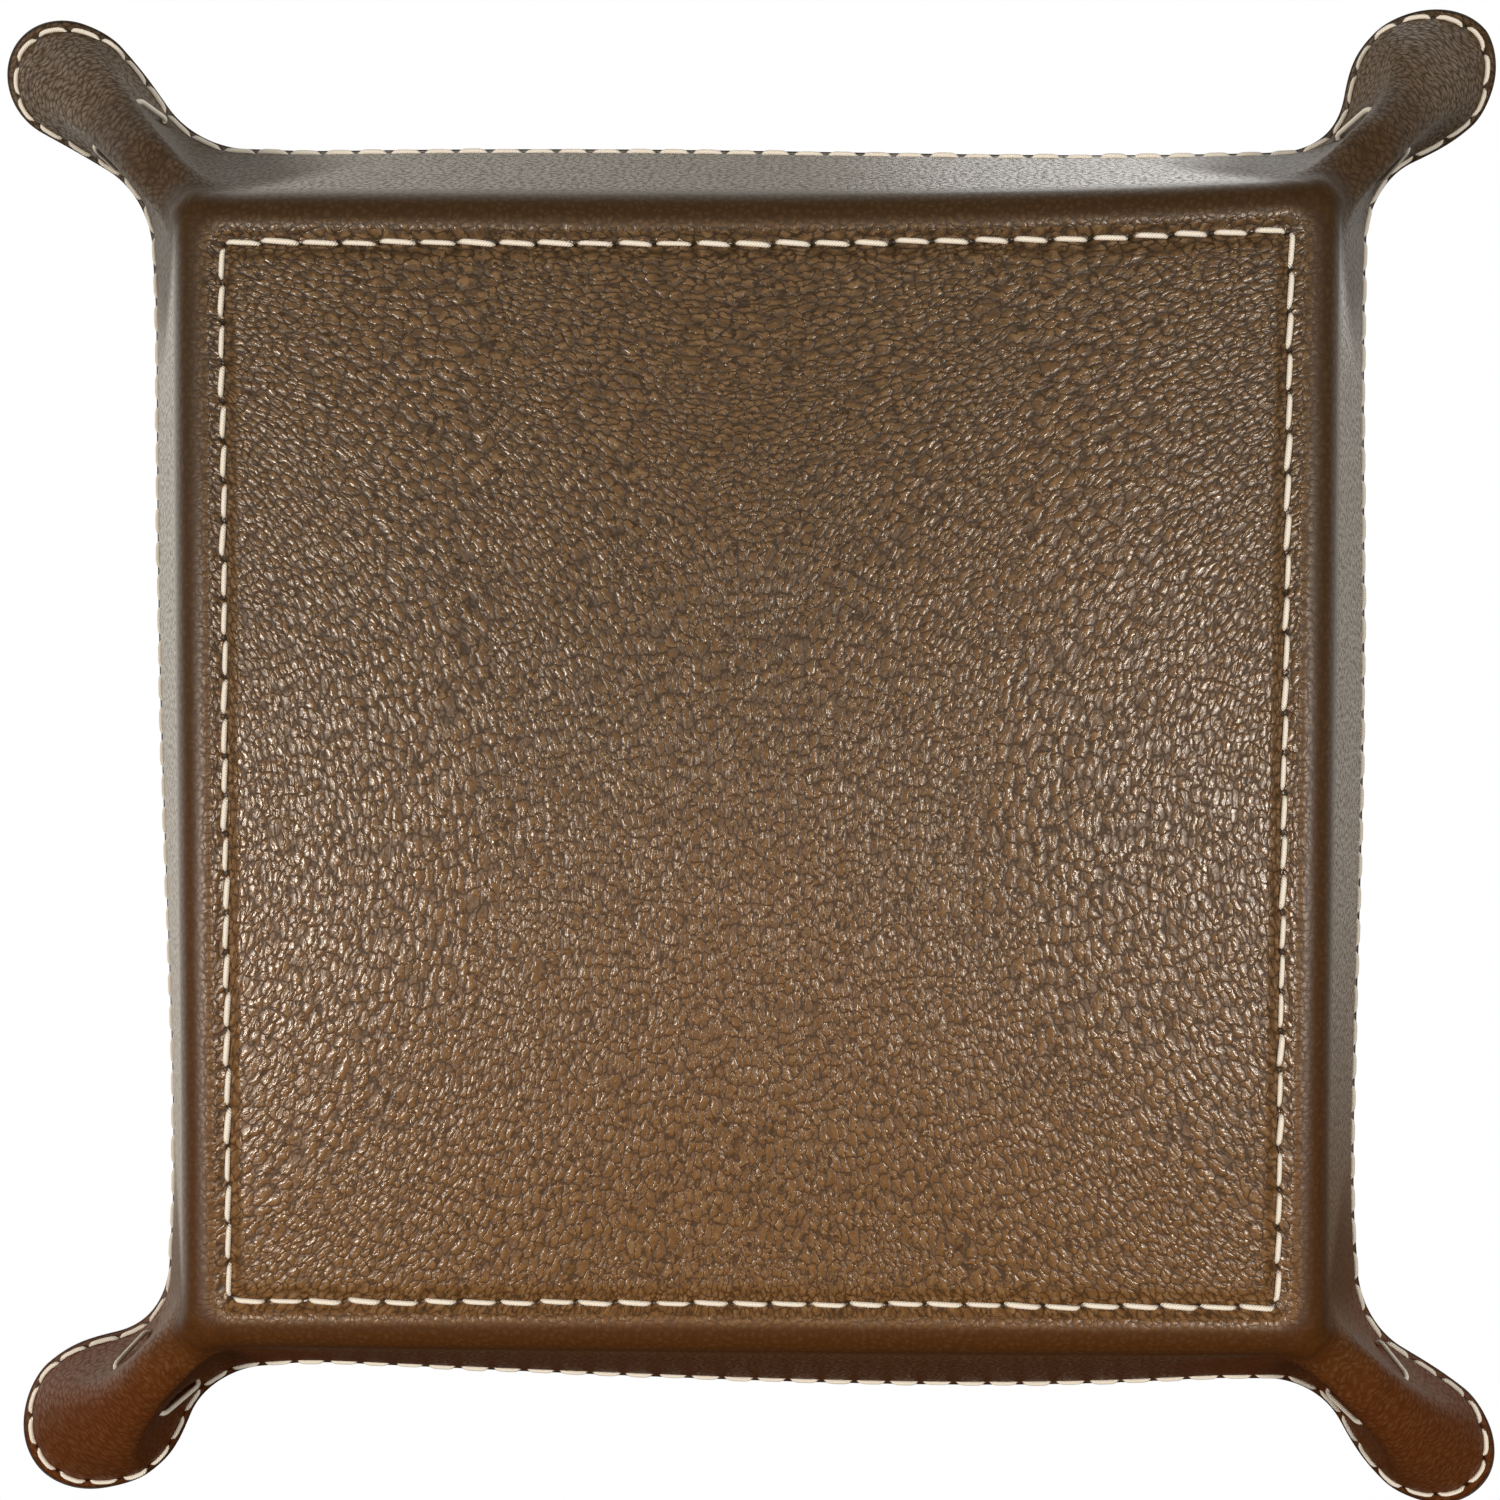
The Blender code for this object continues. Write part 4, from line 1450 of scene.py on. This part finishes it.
@dataclass(frozen=True)
class Panel:
    """One leather panel: the face that shows, its cut edge, and the face against the other."""

    name: str
    node: str
    shown_depth: float
    hidden_depth: float
    lifted: bool
    rim_sign: float
    pinch_share: float
    stretch: Stretch = Stretch()
    handling: Handling = Handling()
    steps: int = 96
    eye: float = 1.2 * MM
    seam_side: float = 3.2 * MM
    rim_side: float = 6 * MM
    shown_counts: tuple[int, ...] = (22, 20, 10, 36, 13)
    hidden_eye: float = 2 * MM
    hidden_seam_side: float = 2.4 * MM
    hidden_counts: tuple[int, ...] = (7, 4, 9)
    streak_fade: float = 2.5 * MM
    off_seams: tuple[float, float] = (0.25, -50 * MM)

    def shown_rows(self, shape: TrayShape) -> np.ndarray:
        """
        Give the shown face's rows: close at the seams and folds, wider between them.

        Args:
            shape: The tray's shape.

        Returns:
            Their distances along the leather, outwards.
        """
        stops = (self.eye, shape.base_seam_half - self.seam_side, shape.flat_half,
                 shape.flat_half + shape.fold_length, shape.rim_reach - self.rim_side,
                 shape.rim_reach)
        last = len(self.shown_counts) - 1
        return np.concatenate([
            np.linspace(start, stop, count, endpoint=number == last)
            for number, (start, stop, count) in enumerate(zip(stops, stops[1:], self.shown_counts))
        ])

    def hidden_rows(self, shape: TrayShape) -> np.ndarray:
        """
        Give the hidden face's rows.

        Args:
            shape: The tray's shape.

        Returns:
            Their distances along the leather, outwards.
        """
        seam, fold = shape.base_seam_half, shape.flat_half + shape.fold_length
        by_seam, by_fold, on_wall = self.hidden_counts
        return np.concatenate([
            [self.hidden_eye, seam / 2],
            np.linspace(seam - self.hidden_seam_side, seam + self.hidden_seam_side, by_seam),
            np.linspace(shape.flat_half, fold, by_fold),
            np.linspace(fold, shape.rim_reach, on_wall)[1:],
        ])

    def _sheet(self, shape: TrayShape, rows: np.ndarray, turn: np.ndarray, depth: float,
               shown: bool) -> np.ndarray:
        """
        Give one face's points.

        Args:
            shape: The tray's shape.
            rows: The rows' distances along the leather.
            turn: Places round the tray.
            depth: How far the face lies inside the outer one.
            shown: Whether it is the shown face, which the rim seam presses.

        Returns:
            The points by row and place.
        """
        reach, turn = rows[:, None], turn[None, :]
        inward = depth + shape.furrow(reach)
        if self.lifted:
            inward = inward + shape.board_lift(reach)
        if shown:
            inward = inward + self.rim_sign * shape.rim_press(reach)
        pinch = shape.pinch(shape.face(reach, turn), shape.grooves()) * self.pinch_share
        return shape.layer(reach, turn, inward + pinch)

    def build(self, shape: TrayShape, seams: tuple[Seam, Seam], material: bpy.types.Material
              ) -> bpy.types.Object:
        """
        Build the panel as one closed skin.

        Rows run out over the shown face, over the cut edge and back in over the hidden face, and
        each face is closed at its middle.

        Args:
            shape: The tray's shape.
            seams: The base seam and the rim seam.
            material: The leather.

        Returns:
            The piece.
        """
        round_turn = np.arange(8 * self.steps + 1) / self.steps
        turn = round_turn[:-1]
        shown, hidden = self.shown_rows(shape), self.hidden_rows(shape)[::-1]
        rows = np.concatenate([shown, hidden])
        points = np.concatenate([
            self._sheet(shape, shown, turn, self.shown_depth, True),
            self._sheet(shape, hidden, turn, self.hidden_depth, False),
        ])
        flat = shape.plain(rows[:, None], round_turn[None, :] % 8)[1]
        streaks, size, drawn, behind = self.stretch.map(flat)
        past = rows[:, None] - shape.base_seam_half
        maps = {"flat": flat, "seam": self._seam_map(seams, rows, round_turn),
                "stretch": streaks, "stretch_behind": streaks * np.sign(streaks[..., 1:])}
        values = self.handling.marks(past, points) | {
            "stretch_size": size[:, :-1],
            "drawn": drawn[:, :-1] * (1 - ease(past / self.streak_fade)),
            "behind": behind[:, :-1]}
        skin = Skin()
        index = skin.add_grids(points[None], False, True,
                               {name: array[None] for name, array in maps.items()},
                               {name: array[None] for name, array in values.items()})
        streak, size, drawn, behind = self.stretch.map(np.zeros(2))
        for row, side in ((0, 1), (-1, -1)):
            ring = {name: array[row][::side] for name, array in maps.items()}
            skin.add_fan(index[0, row][::side], points[row].mean(axis=0),
                         self._fan_maps(ring, side),
                         {"flat": np.zeros(2), "seam": np.array(self.off_seams),
                          "stretch": streak, "stretch_behind": streak},
                         {"grain": 1.0, "crease": 0.0, "worked": 0.0,
                          "stretch_size": float(size), "drawn": float(drawn),
                          "behind": float(behind)})
        return skin.make(self.name, material)

    @staticmethod
    def _fan_maps(maps: dict[str, np.ndarray], side: int) -> dict[str, np.ndarray]:
        """
        Line each map up with a ring that runs forwards or backwards.

        Args:
            maps: Each map's numbers, with the first again at the end, in the ring's direction.
            side: 1 where the ring runs forwards, -1 where backwards.

        Returns:
            The maps.
        """
        if side > 0:
            return maps
        return {name: np.concatenate([array[1:], array[1:2]]) for name, array in maps.items()}

    @staticmethod
    def _seam_map(seams: tuple[Seam, Seam], rows: np.ndarray, turn: np.ndarray) -> np.ndarray:
        """
        Give the map that the stitch holes follow.

        Args:
            seams: The base seam and the rim seam.
            rows: The rows' distances along the leather.
            turn: Places round the tray.

        Returns:
            By row and place, the count of stitches along the nearest seam and the distance off it.
        """
        base, rim = seams
        middle = (base.reach + rim.reach) / 2
        runs = []
        for seam in (base, rim):
            known = np.concatenate([seam.holes[-1:] - 8, seam.holes, seam.holes[:2] + 8])
            runs.append(np.interp(turn, known, np.arange(len(known)) - 1.0))
        near_base = (rows < middle)[:, None]
        run = np.where(near_base, runs[0][None, :], runs[1][None, :])
        off = np.where(near_base, rows[:, None] - base.reach, rows[:, None] - rim.reach)
        return np.stack([run, off + 0 * run], axis=-1)


@dataclass(frozen=True)
class Stitches:
    """The stitches of one seam on one face, each from hole to hole, a little aslant."""

    name: str
    node: str
    depth: float
    side: float
    radius: float = 0.315 * MM
    seat: float = 0.72
    end_share: float = 0.062
    thinning: float = 0.30
    slant: float = 0.12 * MM
    unevenness: float = 0.07 * MM
    steps: int = 8
    sides: int = 6
    seed: int = 3

    def build(self, shape: TrayShape, seam: Seam, material: bpy.types.Material
              ) -> bpy.types.Object:
        """
        Build the stitches.

        A stitch starts below the leather in one hole, rises over it by a share of the thread's
        radius times 1 less 1.9 times the sixth power of the distance from its middle, and dives
        into the next hole. It crosses the seam from one side to the other. Random draws make
        each a little different.

        Args:
            shape: The tray's shape.
            seam: The seam.
            material: The thread.

        Returns:
            The piece.
        """
        random = np.random.default_rng(self.seed)
        count = len(seam.holes)
        after = np.concatenate([seam.holes[1:], seam.holes[:1] + 8])
        spread = random.normal(0, 1, (count, 4))
        ends = self.end_share + 0.02 * np.abs(spread[:, :2])
        share = np.linspace(0, 1, self.steps + 1)[None, :]
        inner = ends[:, :1] + (1 - ends.sum(axis=1, keepdims=True)) * share
        turn = seam.holes[:, None] + (after - seam.holes)[:, None] * inner
        middle = 2 * share - 1
        slant = self.slant * (1 + 0.3 * spread[:, 2:3]) * middle
        reach = seam.reach + slant + self.unevenness * spread[:, 3:4]
        rise = 1 - middle**6 * 1.9
        height = self.radius * (self.seat + 0.05 * spread[:, 2:3]) * rise
        depth = self._ground(shape, reach) - self.side * height
        path = shape.layer(reach, turn, depth)
        radius = self.radius * (1 + 0.06 * spread[:, 2:3]) * (1 - self.thinning * middle**4)
        up = shape.normals(reach, turn) * -self.side
        skin = Skin()
        add_tubes(skin, path, radius, up, self.sides, False)
        return skin.make(self.name, material)

    def _ground(self, shape: TrayShape, reach: np.ndarray) -> np.ndarray:
        """Give the depth of the face that the stitches lie on."""
        return self.depth + shape.furrow(reach) + self.side * shape.rim_press(reach)


@dataclass(frozen=True)
class CornerTack:
    """A loop of thread through both sides of an ear."""

    corner: Corner
    radius: float = 0.33 * MM
    seat: float = 0.7
    dive: float = 0.45 * MM
    steps: int = 17
    through_steps: int = 12
    sides: int = 10

    @property
    def name(self) -> str:
        """The piece's name."""
        return "corner_tack_thread_" + self.corner.name.lower()

    @property
    def node(self) -> str:
        """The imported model's node that it stands for."""
        return "corner_tack_" + self.corner.name.lower()

    def build(self, shape: TrayShape, material: bpy.types.Material) -> bpy.types.Object:
        """
        Build the loop.

        It runs down one side's outer face from hole to hole, goes through both sides, runs up
        the other's, and comes back through both. On each side it lies on the straight line
        between the holes, or on the leather where that bulges past it.

        Args:
            shape: The tray's shape.
            material: The thread.

        Returns:
            The piece.
        """
        sides = []
        for holes in shape.tack_holes(self.corner):
            reach, turn = np.linspace(holes[0], holes[1], self.steps).T
            place = shape.face(reach, turn)
            normal = shape.normals(reach, turn)
            share = np.linspace(0, 1, self.steps)
            chord = place[0] + (place[-1] - place[0]) * share[:, None]
            outward = -unit(normal.mean(axis=0))
            dive = self.dive * np.abs(2 * share - 1) ** 14
            lift = np.maximum((place - chord) @ outward, 0) + self.radius * self.seat - dive
            sides.append(chord + outward * lift[:, None])
        first, second = sides
        path = np.concatenate([first, self._through(first[-1], second[-1]), second[::-1],
                               self._through(second[0], first[0])])
        path = (np.roll(path, 1, axis=0) + 2 * path + np.roll(path, -1, axis=0)) / 4
        up = np.tile([*self.corner.value, 0.0], (len(path), 1))
        skin = Skin()
        radius = np.full((1, len(path)), self.radius)
        add_tubes(skin, path[None], radius, up[None], self.sides, True)
        return skin.make(self.name, material)

    def _through(self, start: np.ndarray, end: np.ndarray) -> np.ndarray:
        """Give points between two places, without them."""
        return np.linspace(start, end, self.through_steps)[1:-1]


@dataclass(frozen=True)
class EdgePaint:
    """The paint on the two panels' cut edges, as one rounded bead round the rim."""

    name: str = "edge_paint"
    proud: float = 0.25 * MM
    lap: float = 0.22 * MM
    film: float = 0.06 * MM
    unevenness: float = 0.10
    steps: int = 1600
    profile_steps: int = 14

    def build(self, shape: TrayShape, material: bpy.types.Material) -> bpy.types.Object:
        """
        Build the bead.

        Its section is a flattened oval about the middle of the cut edge: across the stack it
        goes by the sine of the angle to the power of 0.5, and along the leather by the cosine to
        the power of 0.6, times a slow wave.

        Args:
            shape: The tray's shape.
            material: The paint.

        Returns:
            The piece.
        """
        turn = np.arange(self.steps) * 8 / self.steps
        rim = shape.rim_reach
        outer = shape.face(rim, turn)
        inner = shape.layer(rim, turn, shape.stack)
        below = shape.face(rim - 0.5 * MM, turn)
        across = unit(inner - outer)
        up = outer - below
        up = unit(up - across * np.sum(up * across, axis=-1, keepdims=True))
        middle = (inner + outer) / 2
        angle = np.arange(self.profile_steps) * 2 * math.pi / self.profile_steps
        sine, cosine = np.sin(angle), np.cos(angle)
        wide = shape.stack / 2 + self.film
        tall = (self.proud + self.lap) / 2
        level = (self.proud - self.lap) / 2
        wave = 1 + self.unevenness * np.sin(turn * 37.0) * np.sin(turn * 11.3 + 1.0)
        sideways = wide * np.sign(sine) * np.abs(sine) ** 0.5
        upwards = level + tall * np.sign(cosine) * np.abs(cosine) ** 0.6
        points = (
            middle[:, None] + across[:, None] * sideways[None, :, None]
            + up[:, None] * (upwards[None, :, None] * wave[:, None, None])
        )
        run = np.linspace(0, 1, self.steps + 1)[:, None]
        round_it = np.linspace(0, 1, self.profile_steps + 1)[None, :]
        maps = np.stack(np.broadcast_arrays(run, round_it), axis=-1)
        skin = Skin()
        skin.add_grids(points[None], True, True, {"strip": maps[None]})
        return skin.make(self.name, material)


@dataclass
class LeatherTray:
    """The whole tray, built from the outer leather inwards."""

    shape: TrayShape = field(default_factory=TrayShape)
    outer_finish: LeatherFinish = LeatherFinish(
        "outer_leather_finish", (0.083, 0.046, 0.019), (0.150, 0.067, 0.018))
    lining_finish: LeatherFinish = LeatherFinish(
        "lining_leather_finish", (0.122, 0.068, 0.031), (0.148, 0.072, 0.028),
        # front: the lining's darker front colour, painted shade on its front wall
        front=(0.135, 0.060, 0.020))
    thread_finish: ThreadFinish = ThreadFinish("thread_finish")
    paint_finish: EdgePaintFinish = EdgePaintFinish("edge_paint_finish")
    board_finish: BoardFinish = BoardFinish("board_finish")

    def build(self) -> None:
        """Build every piece, seat it on the root body and hide the imported nodes that it replaces.
        """
        shape = self.shape
        seams = (base_seam(shape), rim_seam(shape))
        thread = self.thread_finish.make()
        outer = Panel("outer_leather_panel", "outer_leather", shown_depth=0.0,
                      hidden_depth=shape.outer_thickness, lifted=False, rim_sign=1.0,
                      pinch_share=1.0)
        lining = Panel("lining_leather_panel", "lining_leather", shown_depth=shape.stack,
                       hidden_depth=shape.outer_thickness + shape.gap, lifted=True,
                       rim_sign=-1.0, pinch_share=0.6)
        outer_piece = self._seat(outer.build(shape, seams, self.outer_finish.make()),
                                 "outer_leather", outer.node)
        lining_piece = self._seat(lining.build(shape, seams, self.lining_finish.make()),
                                  "lining_leather", lining.node)
        self._seat(EdgePaint().build(shape, self.paint_finish.make()), "edge_paint")
        seeds = iter((3, 5, 7, 9))
        for kind, seam in zip(("base", "rim"), seams):
            for face, depth, side in (("outside", 0.0, 1.0), ("inside", shape.stack, -1.0)):
                stitches = Stitches(f"{kind}_stitches_{face}", f"{kind}_seam_thread_{face}",
                                    depth, side, seed=next(seeds))
                self._seat(stitches.build(shape, seam, thread), "thread", stitches.node)
        for corner in Corner:
            tack = CornerTack(corner)
            self._seat(tack.build(shape, thread), "thread", tack.node)
        self._dress_board()
        self._declare()

    def _seat(self, piece: bpy.types.Object, slot: str, *nodes: str) -> bpy.types.Object:
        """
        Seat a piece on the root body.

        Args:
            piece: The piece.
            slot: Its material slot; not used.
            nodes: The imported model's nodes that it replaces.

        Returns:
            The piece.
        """
        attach(piece, "root")
        if nodes:
            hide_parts(*nodes)
        LOG.info("%s: %d faces", piece.name, len(piece.data.polygons))
        return piece

    def _dress_board(self) -> None:
        """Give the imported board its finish."""
        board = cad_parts["base_board"]
        board.data.materials.clear()
        board.data.materials.append(self.board_finish.make())
        LOG.info("base_board: dressed")

    def _declare(self) -> None:
        width = 2 * self.shape.rim_reach


# Studio


@dataclass(frozen=True)
class Lamp:
    """A soft square or oblong lamp that points at a place."""

    name: str
    place: tuple[float, float, float]
    aim: tuple[float, float, float]
    size: tuple[float, float]
    watts: float
    colour: tuple[float, float, float] = (1.0, 1.0, 1.0)

    def build(self) -> None:
        """Hang the lamp."""
        light = bpy.data.lights.new(self.name, "AREA")
        light.shape = "RECTANGLE"
        light.size, light.size_y = self.size
        light.energy = self.watts
        light.color = self.colour
        lamp = bpy.data.objects.new(self.name, light)
        lamp.location = self.place
        away = Vector(self.aim) - Vector(self.place)
        lamp.rotation_mode = "QUATERNION"
        lamp.rotation_quaternion = away.to_track_quat("-Z", "Y")
        bpy.context.scene.collection.objects.link(lamp)


@dataclass(frozen=True)
class Camera:
    """A camera below the tray, looking up at its underside, close and nearly square on."""

    place: tuple[float, float, float] = (-0.00323, 0.00754, -0.18482)
    tilt_x: float = -0.0254
    tilt_y: float = 0.0184
    focal_share: float = 1646.4 / 1500
    sensor: float = 36.0

    def build(self) -> None:
        """Set the camera up and make it the scene's own."""
        cos_x, sin_x = math.cos(self.tilt_x), math.sin(self.tilt_x)
        cos_y, sin_y = math.cos(self.tilt_y), math.sin(self.tilt_y)
        about_x = Matrix(((1, 0, 0), (0, cos_x, -sin_x), (0, sin_x, cos_x)))
        about_y = Matrix(((cos_y, 0, sin_y), (0, 1, 0), (-sin_y, 0, cos_y)))
        right, up, forward = about_y @ about_x @ Matrix(((-1, 0, 0), (0, 1, 0), (0, 0, 1)))
        data = bpy.data.cameras.new("camera")
        data.sensor_width = self.sensor
        data.lens = self.focal_share * self.sensor
        data.clip_start = 0.01
        camera = bpy.data.objects.new("camera", data)
        turned = Matrix((right, up, -forward)).transposed().to_4x4()
        camera.matrix_world = Matrix.Translation(self.place) @ turned
        bpy.context.scene.collection.objects.link(camera)
        bpy.context.scene.camera = camera


@dataclass(frozen=True)
class Studio:
    """Pale floor, white surroundings and soft lamps above and below."""

    floor_half: float = 3.0
    floor_drop: float = 0.15 * MM
    floor_white: float = 0.86
    above: float = 0.52
    beside: tuple[float, float] = (0.32, 0.33)
    level: float = 0.16
    below: float = 0.30
    tint: tuple[float, float, float] = (1.0, 0.985, 0.895)
    shaded_side: float = 0.01
    shaded_below: float = 0.25
    gloss_below: float = 0.20
    gloss_above: float = 1.60
    ceiling: float = 2.4
    ceiling_gloss: float = 0.35

    def build(self) -> None:
        """Build the floor, the surroundings, the lamps and the camera."""
        self._floor()
        self._surroundings()
        for lamp in self._lamps():
            lamp.build()
        Camera().build()

    def _lamps(self) -> list[Lamp]:
        """Give the lamps."""
        middle = (0.0, 0.0, 0.01)
        return [
            Lamp("lamp_above", (-0.55, 0.75, 0.85), middle, (0.8, 0.8), 3.4),
            Lamp("lamp_above_back", (0.7, 0.6, 0.5), middle, (0.6, 0.6), 1.0),
            Lamp("lamp_below_right", (-0.34, -0.05, -0.62), middle, (0.10, 0.20), 2.6,
                 (1.0, 0.95, 0.87)),
            Lamp("lamp_below_left", (0.39, -0.08, -0.60), middle, (0.10, 0.20), 3.2,
                 (1.0, 0.92, 0.82)),
        ]

    def _floor(self) -> None:
        """Lay a floor that shows from above only and casts nothing on the tray."""
        half, z = self.floor_half, -self.floor_drop
        mesh = bpy.data.meshes.new("floor")
        mesh.from_pydata([(-half, -half, z), (half, -half, z), (half, half, z),
                          (-half, half, z)], [], [(0, 1, 2, 3)])
        floor = bpy.data.objects.new("floor", mesh)
        bpy.context.scene.collection.objects.link(floor)
        material, graph = new_material("floor_finish")
        pale = graph.node("ShaderNodeBsdfDiffuse", {},
                          {"Color": rgba((self.floor_white,) * 3)}).outputs[0]
        clear = graph.node("ShaderNodeBsdfTransparent").outputs[0]
        under = graph.node("ShaderNodeNewGeometry").outputs["Backfacing"]
        finish_surface(graph, graph.node("ShaderNodeMixShader", {},
                                         {0: under, 1: pale, 2: clear}).outputs[0])
        mesh.materials.append(material)
        floor.visible_shadow = False
        floor.visible_diffuse = False
        floor.visible_glossy = False
        floor.visible_transmission = False

    def _surroundings(self) -> None:
        """
        Make the surroundings white to the eye.

        As light they are soft and plain: bright above, most of all overhead, and straight below,
        dimmer between, and shaded on the front side.
        """
        world = bpy.data.worlds.new("surroundings")
        bpy.context.scene.world = world
        world.use_nodes = True
        graph = Graph(world.node_tree)
        way = graph.node("ShaderNodeTexCoord").outputs["Generated"]
        upward = graph.dot(way, (0.0, 0.0, 1.0))
        backward = graph.dot(way, (0.12, 1.0, 0.0))
        sideways = graph.dot(way, (1.0, 0.0, 0.0))
        sides = abs(sideways) * self.beside[0] + sideways * self.beside[1]
        top = sides + (self.above - self.shaded_side)
        top = self.shaded_side + top * backward.ease(-0.42, -0.10)
        low = self.level + (self.below - self.level) * (upward * -1.0).ease(0.15, 0.95)
        rays = graph.node("ShaderNodeLightPath").outputs
        gloss = Value(graph, rays["Is Glossy Ray"])
        low = low * (self.shaded_below + backward.ease(-0.7, 0.2) * (1 - self.shaded_below))
        low = low * (1 - gloss * (1 - self.gloss_below))
        top = top * (1 + gloss * (self.gloss_above - 1))
        glow = upward.ease(0.92, 0.97) * self.ceiling * (1 - gloss * (1 - self.ceiling_gloss))
        top = top + glow
        strength = low + (top - low) * upward.ease(-0.05, 0.30)
        soft = graph.node("ShaderNodeBackground", {},
                          {"Color": rgba(self.tint), "Strength": strength}).outputs[0]
        white = graph.node("ShaderNodeBackground", {},
                           {"Color": (1, 1, 1, 1), "Strength": 1.0}).outputs[0]
        seen = Value(graph, rays["Is Camera Ray"]) + Value(graph, rays["Is Transmission Ray"])
        seen = graph.math("MINIMUM", seen, 1.0)
        mixed = graph.node("ShaderNodeMixShader", {}, {0: seen, 1: soft, 2: white})
        graph.node("ShaderNodeOutputWorld", {}, {"Surface": mixed.outputs[0]})


def main() -> None:
    """Build the tray and the studio."""
    logging.basicConfig(level=logging.INFO, format="%(message)s")
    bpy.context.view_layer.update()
    scene = bpy.context.scene
    scene.view_settings.view_transform = "Standard"
    LeatherTray().build()
    Studio().build()
    bpy.context.view_layer.update()
    LOG.info("sizes written")


if __name__ == "__main__":
    main()
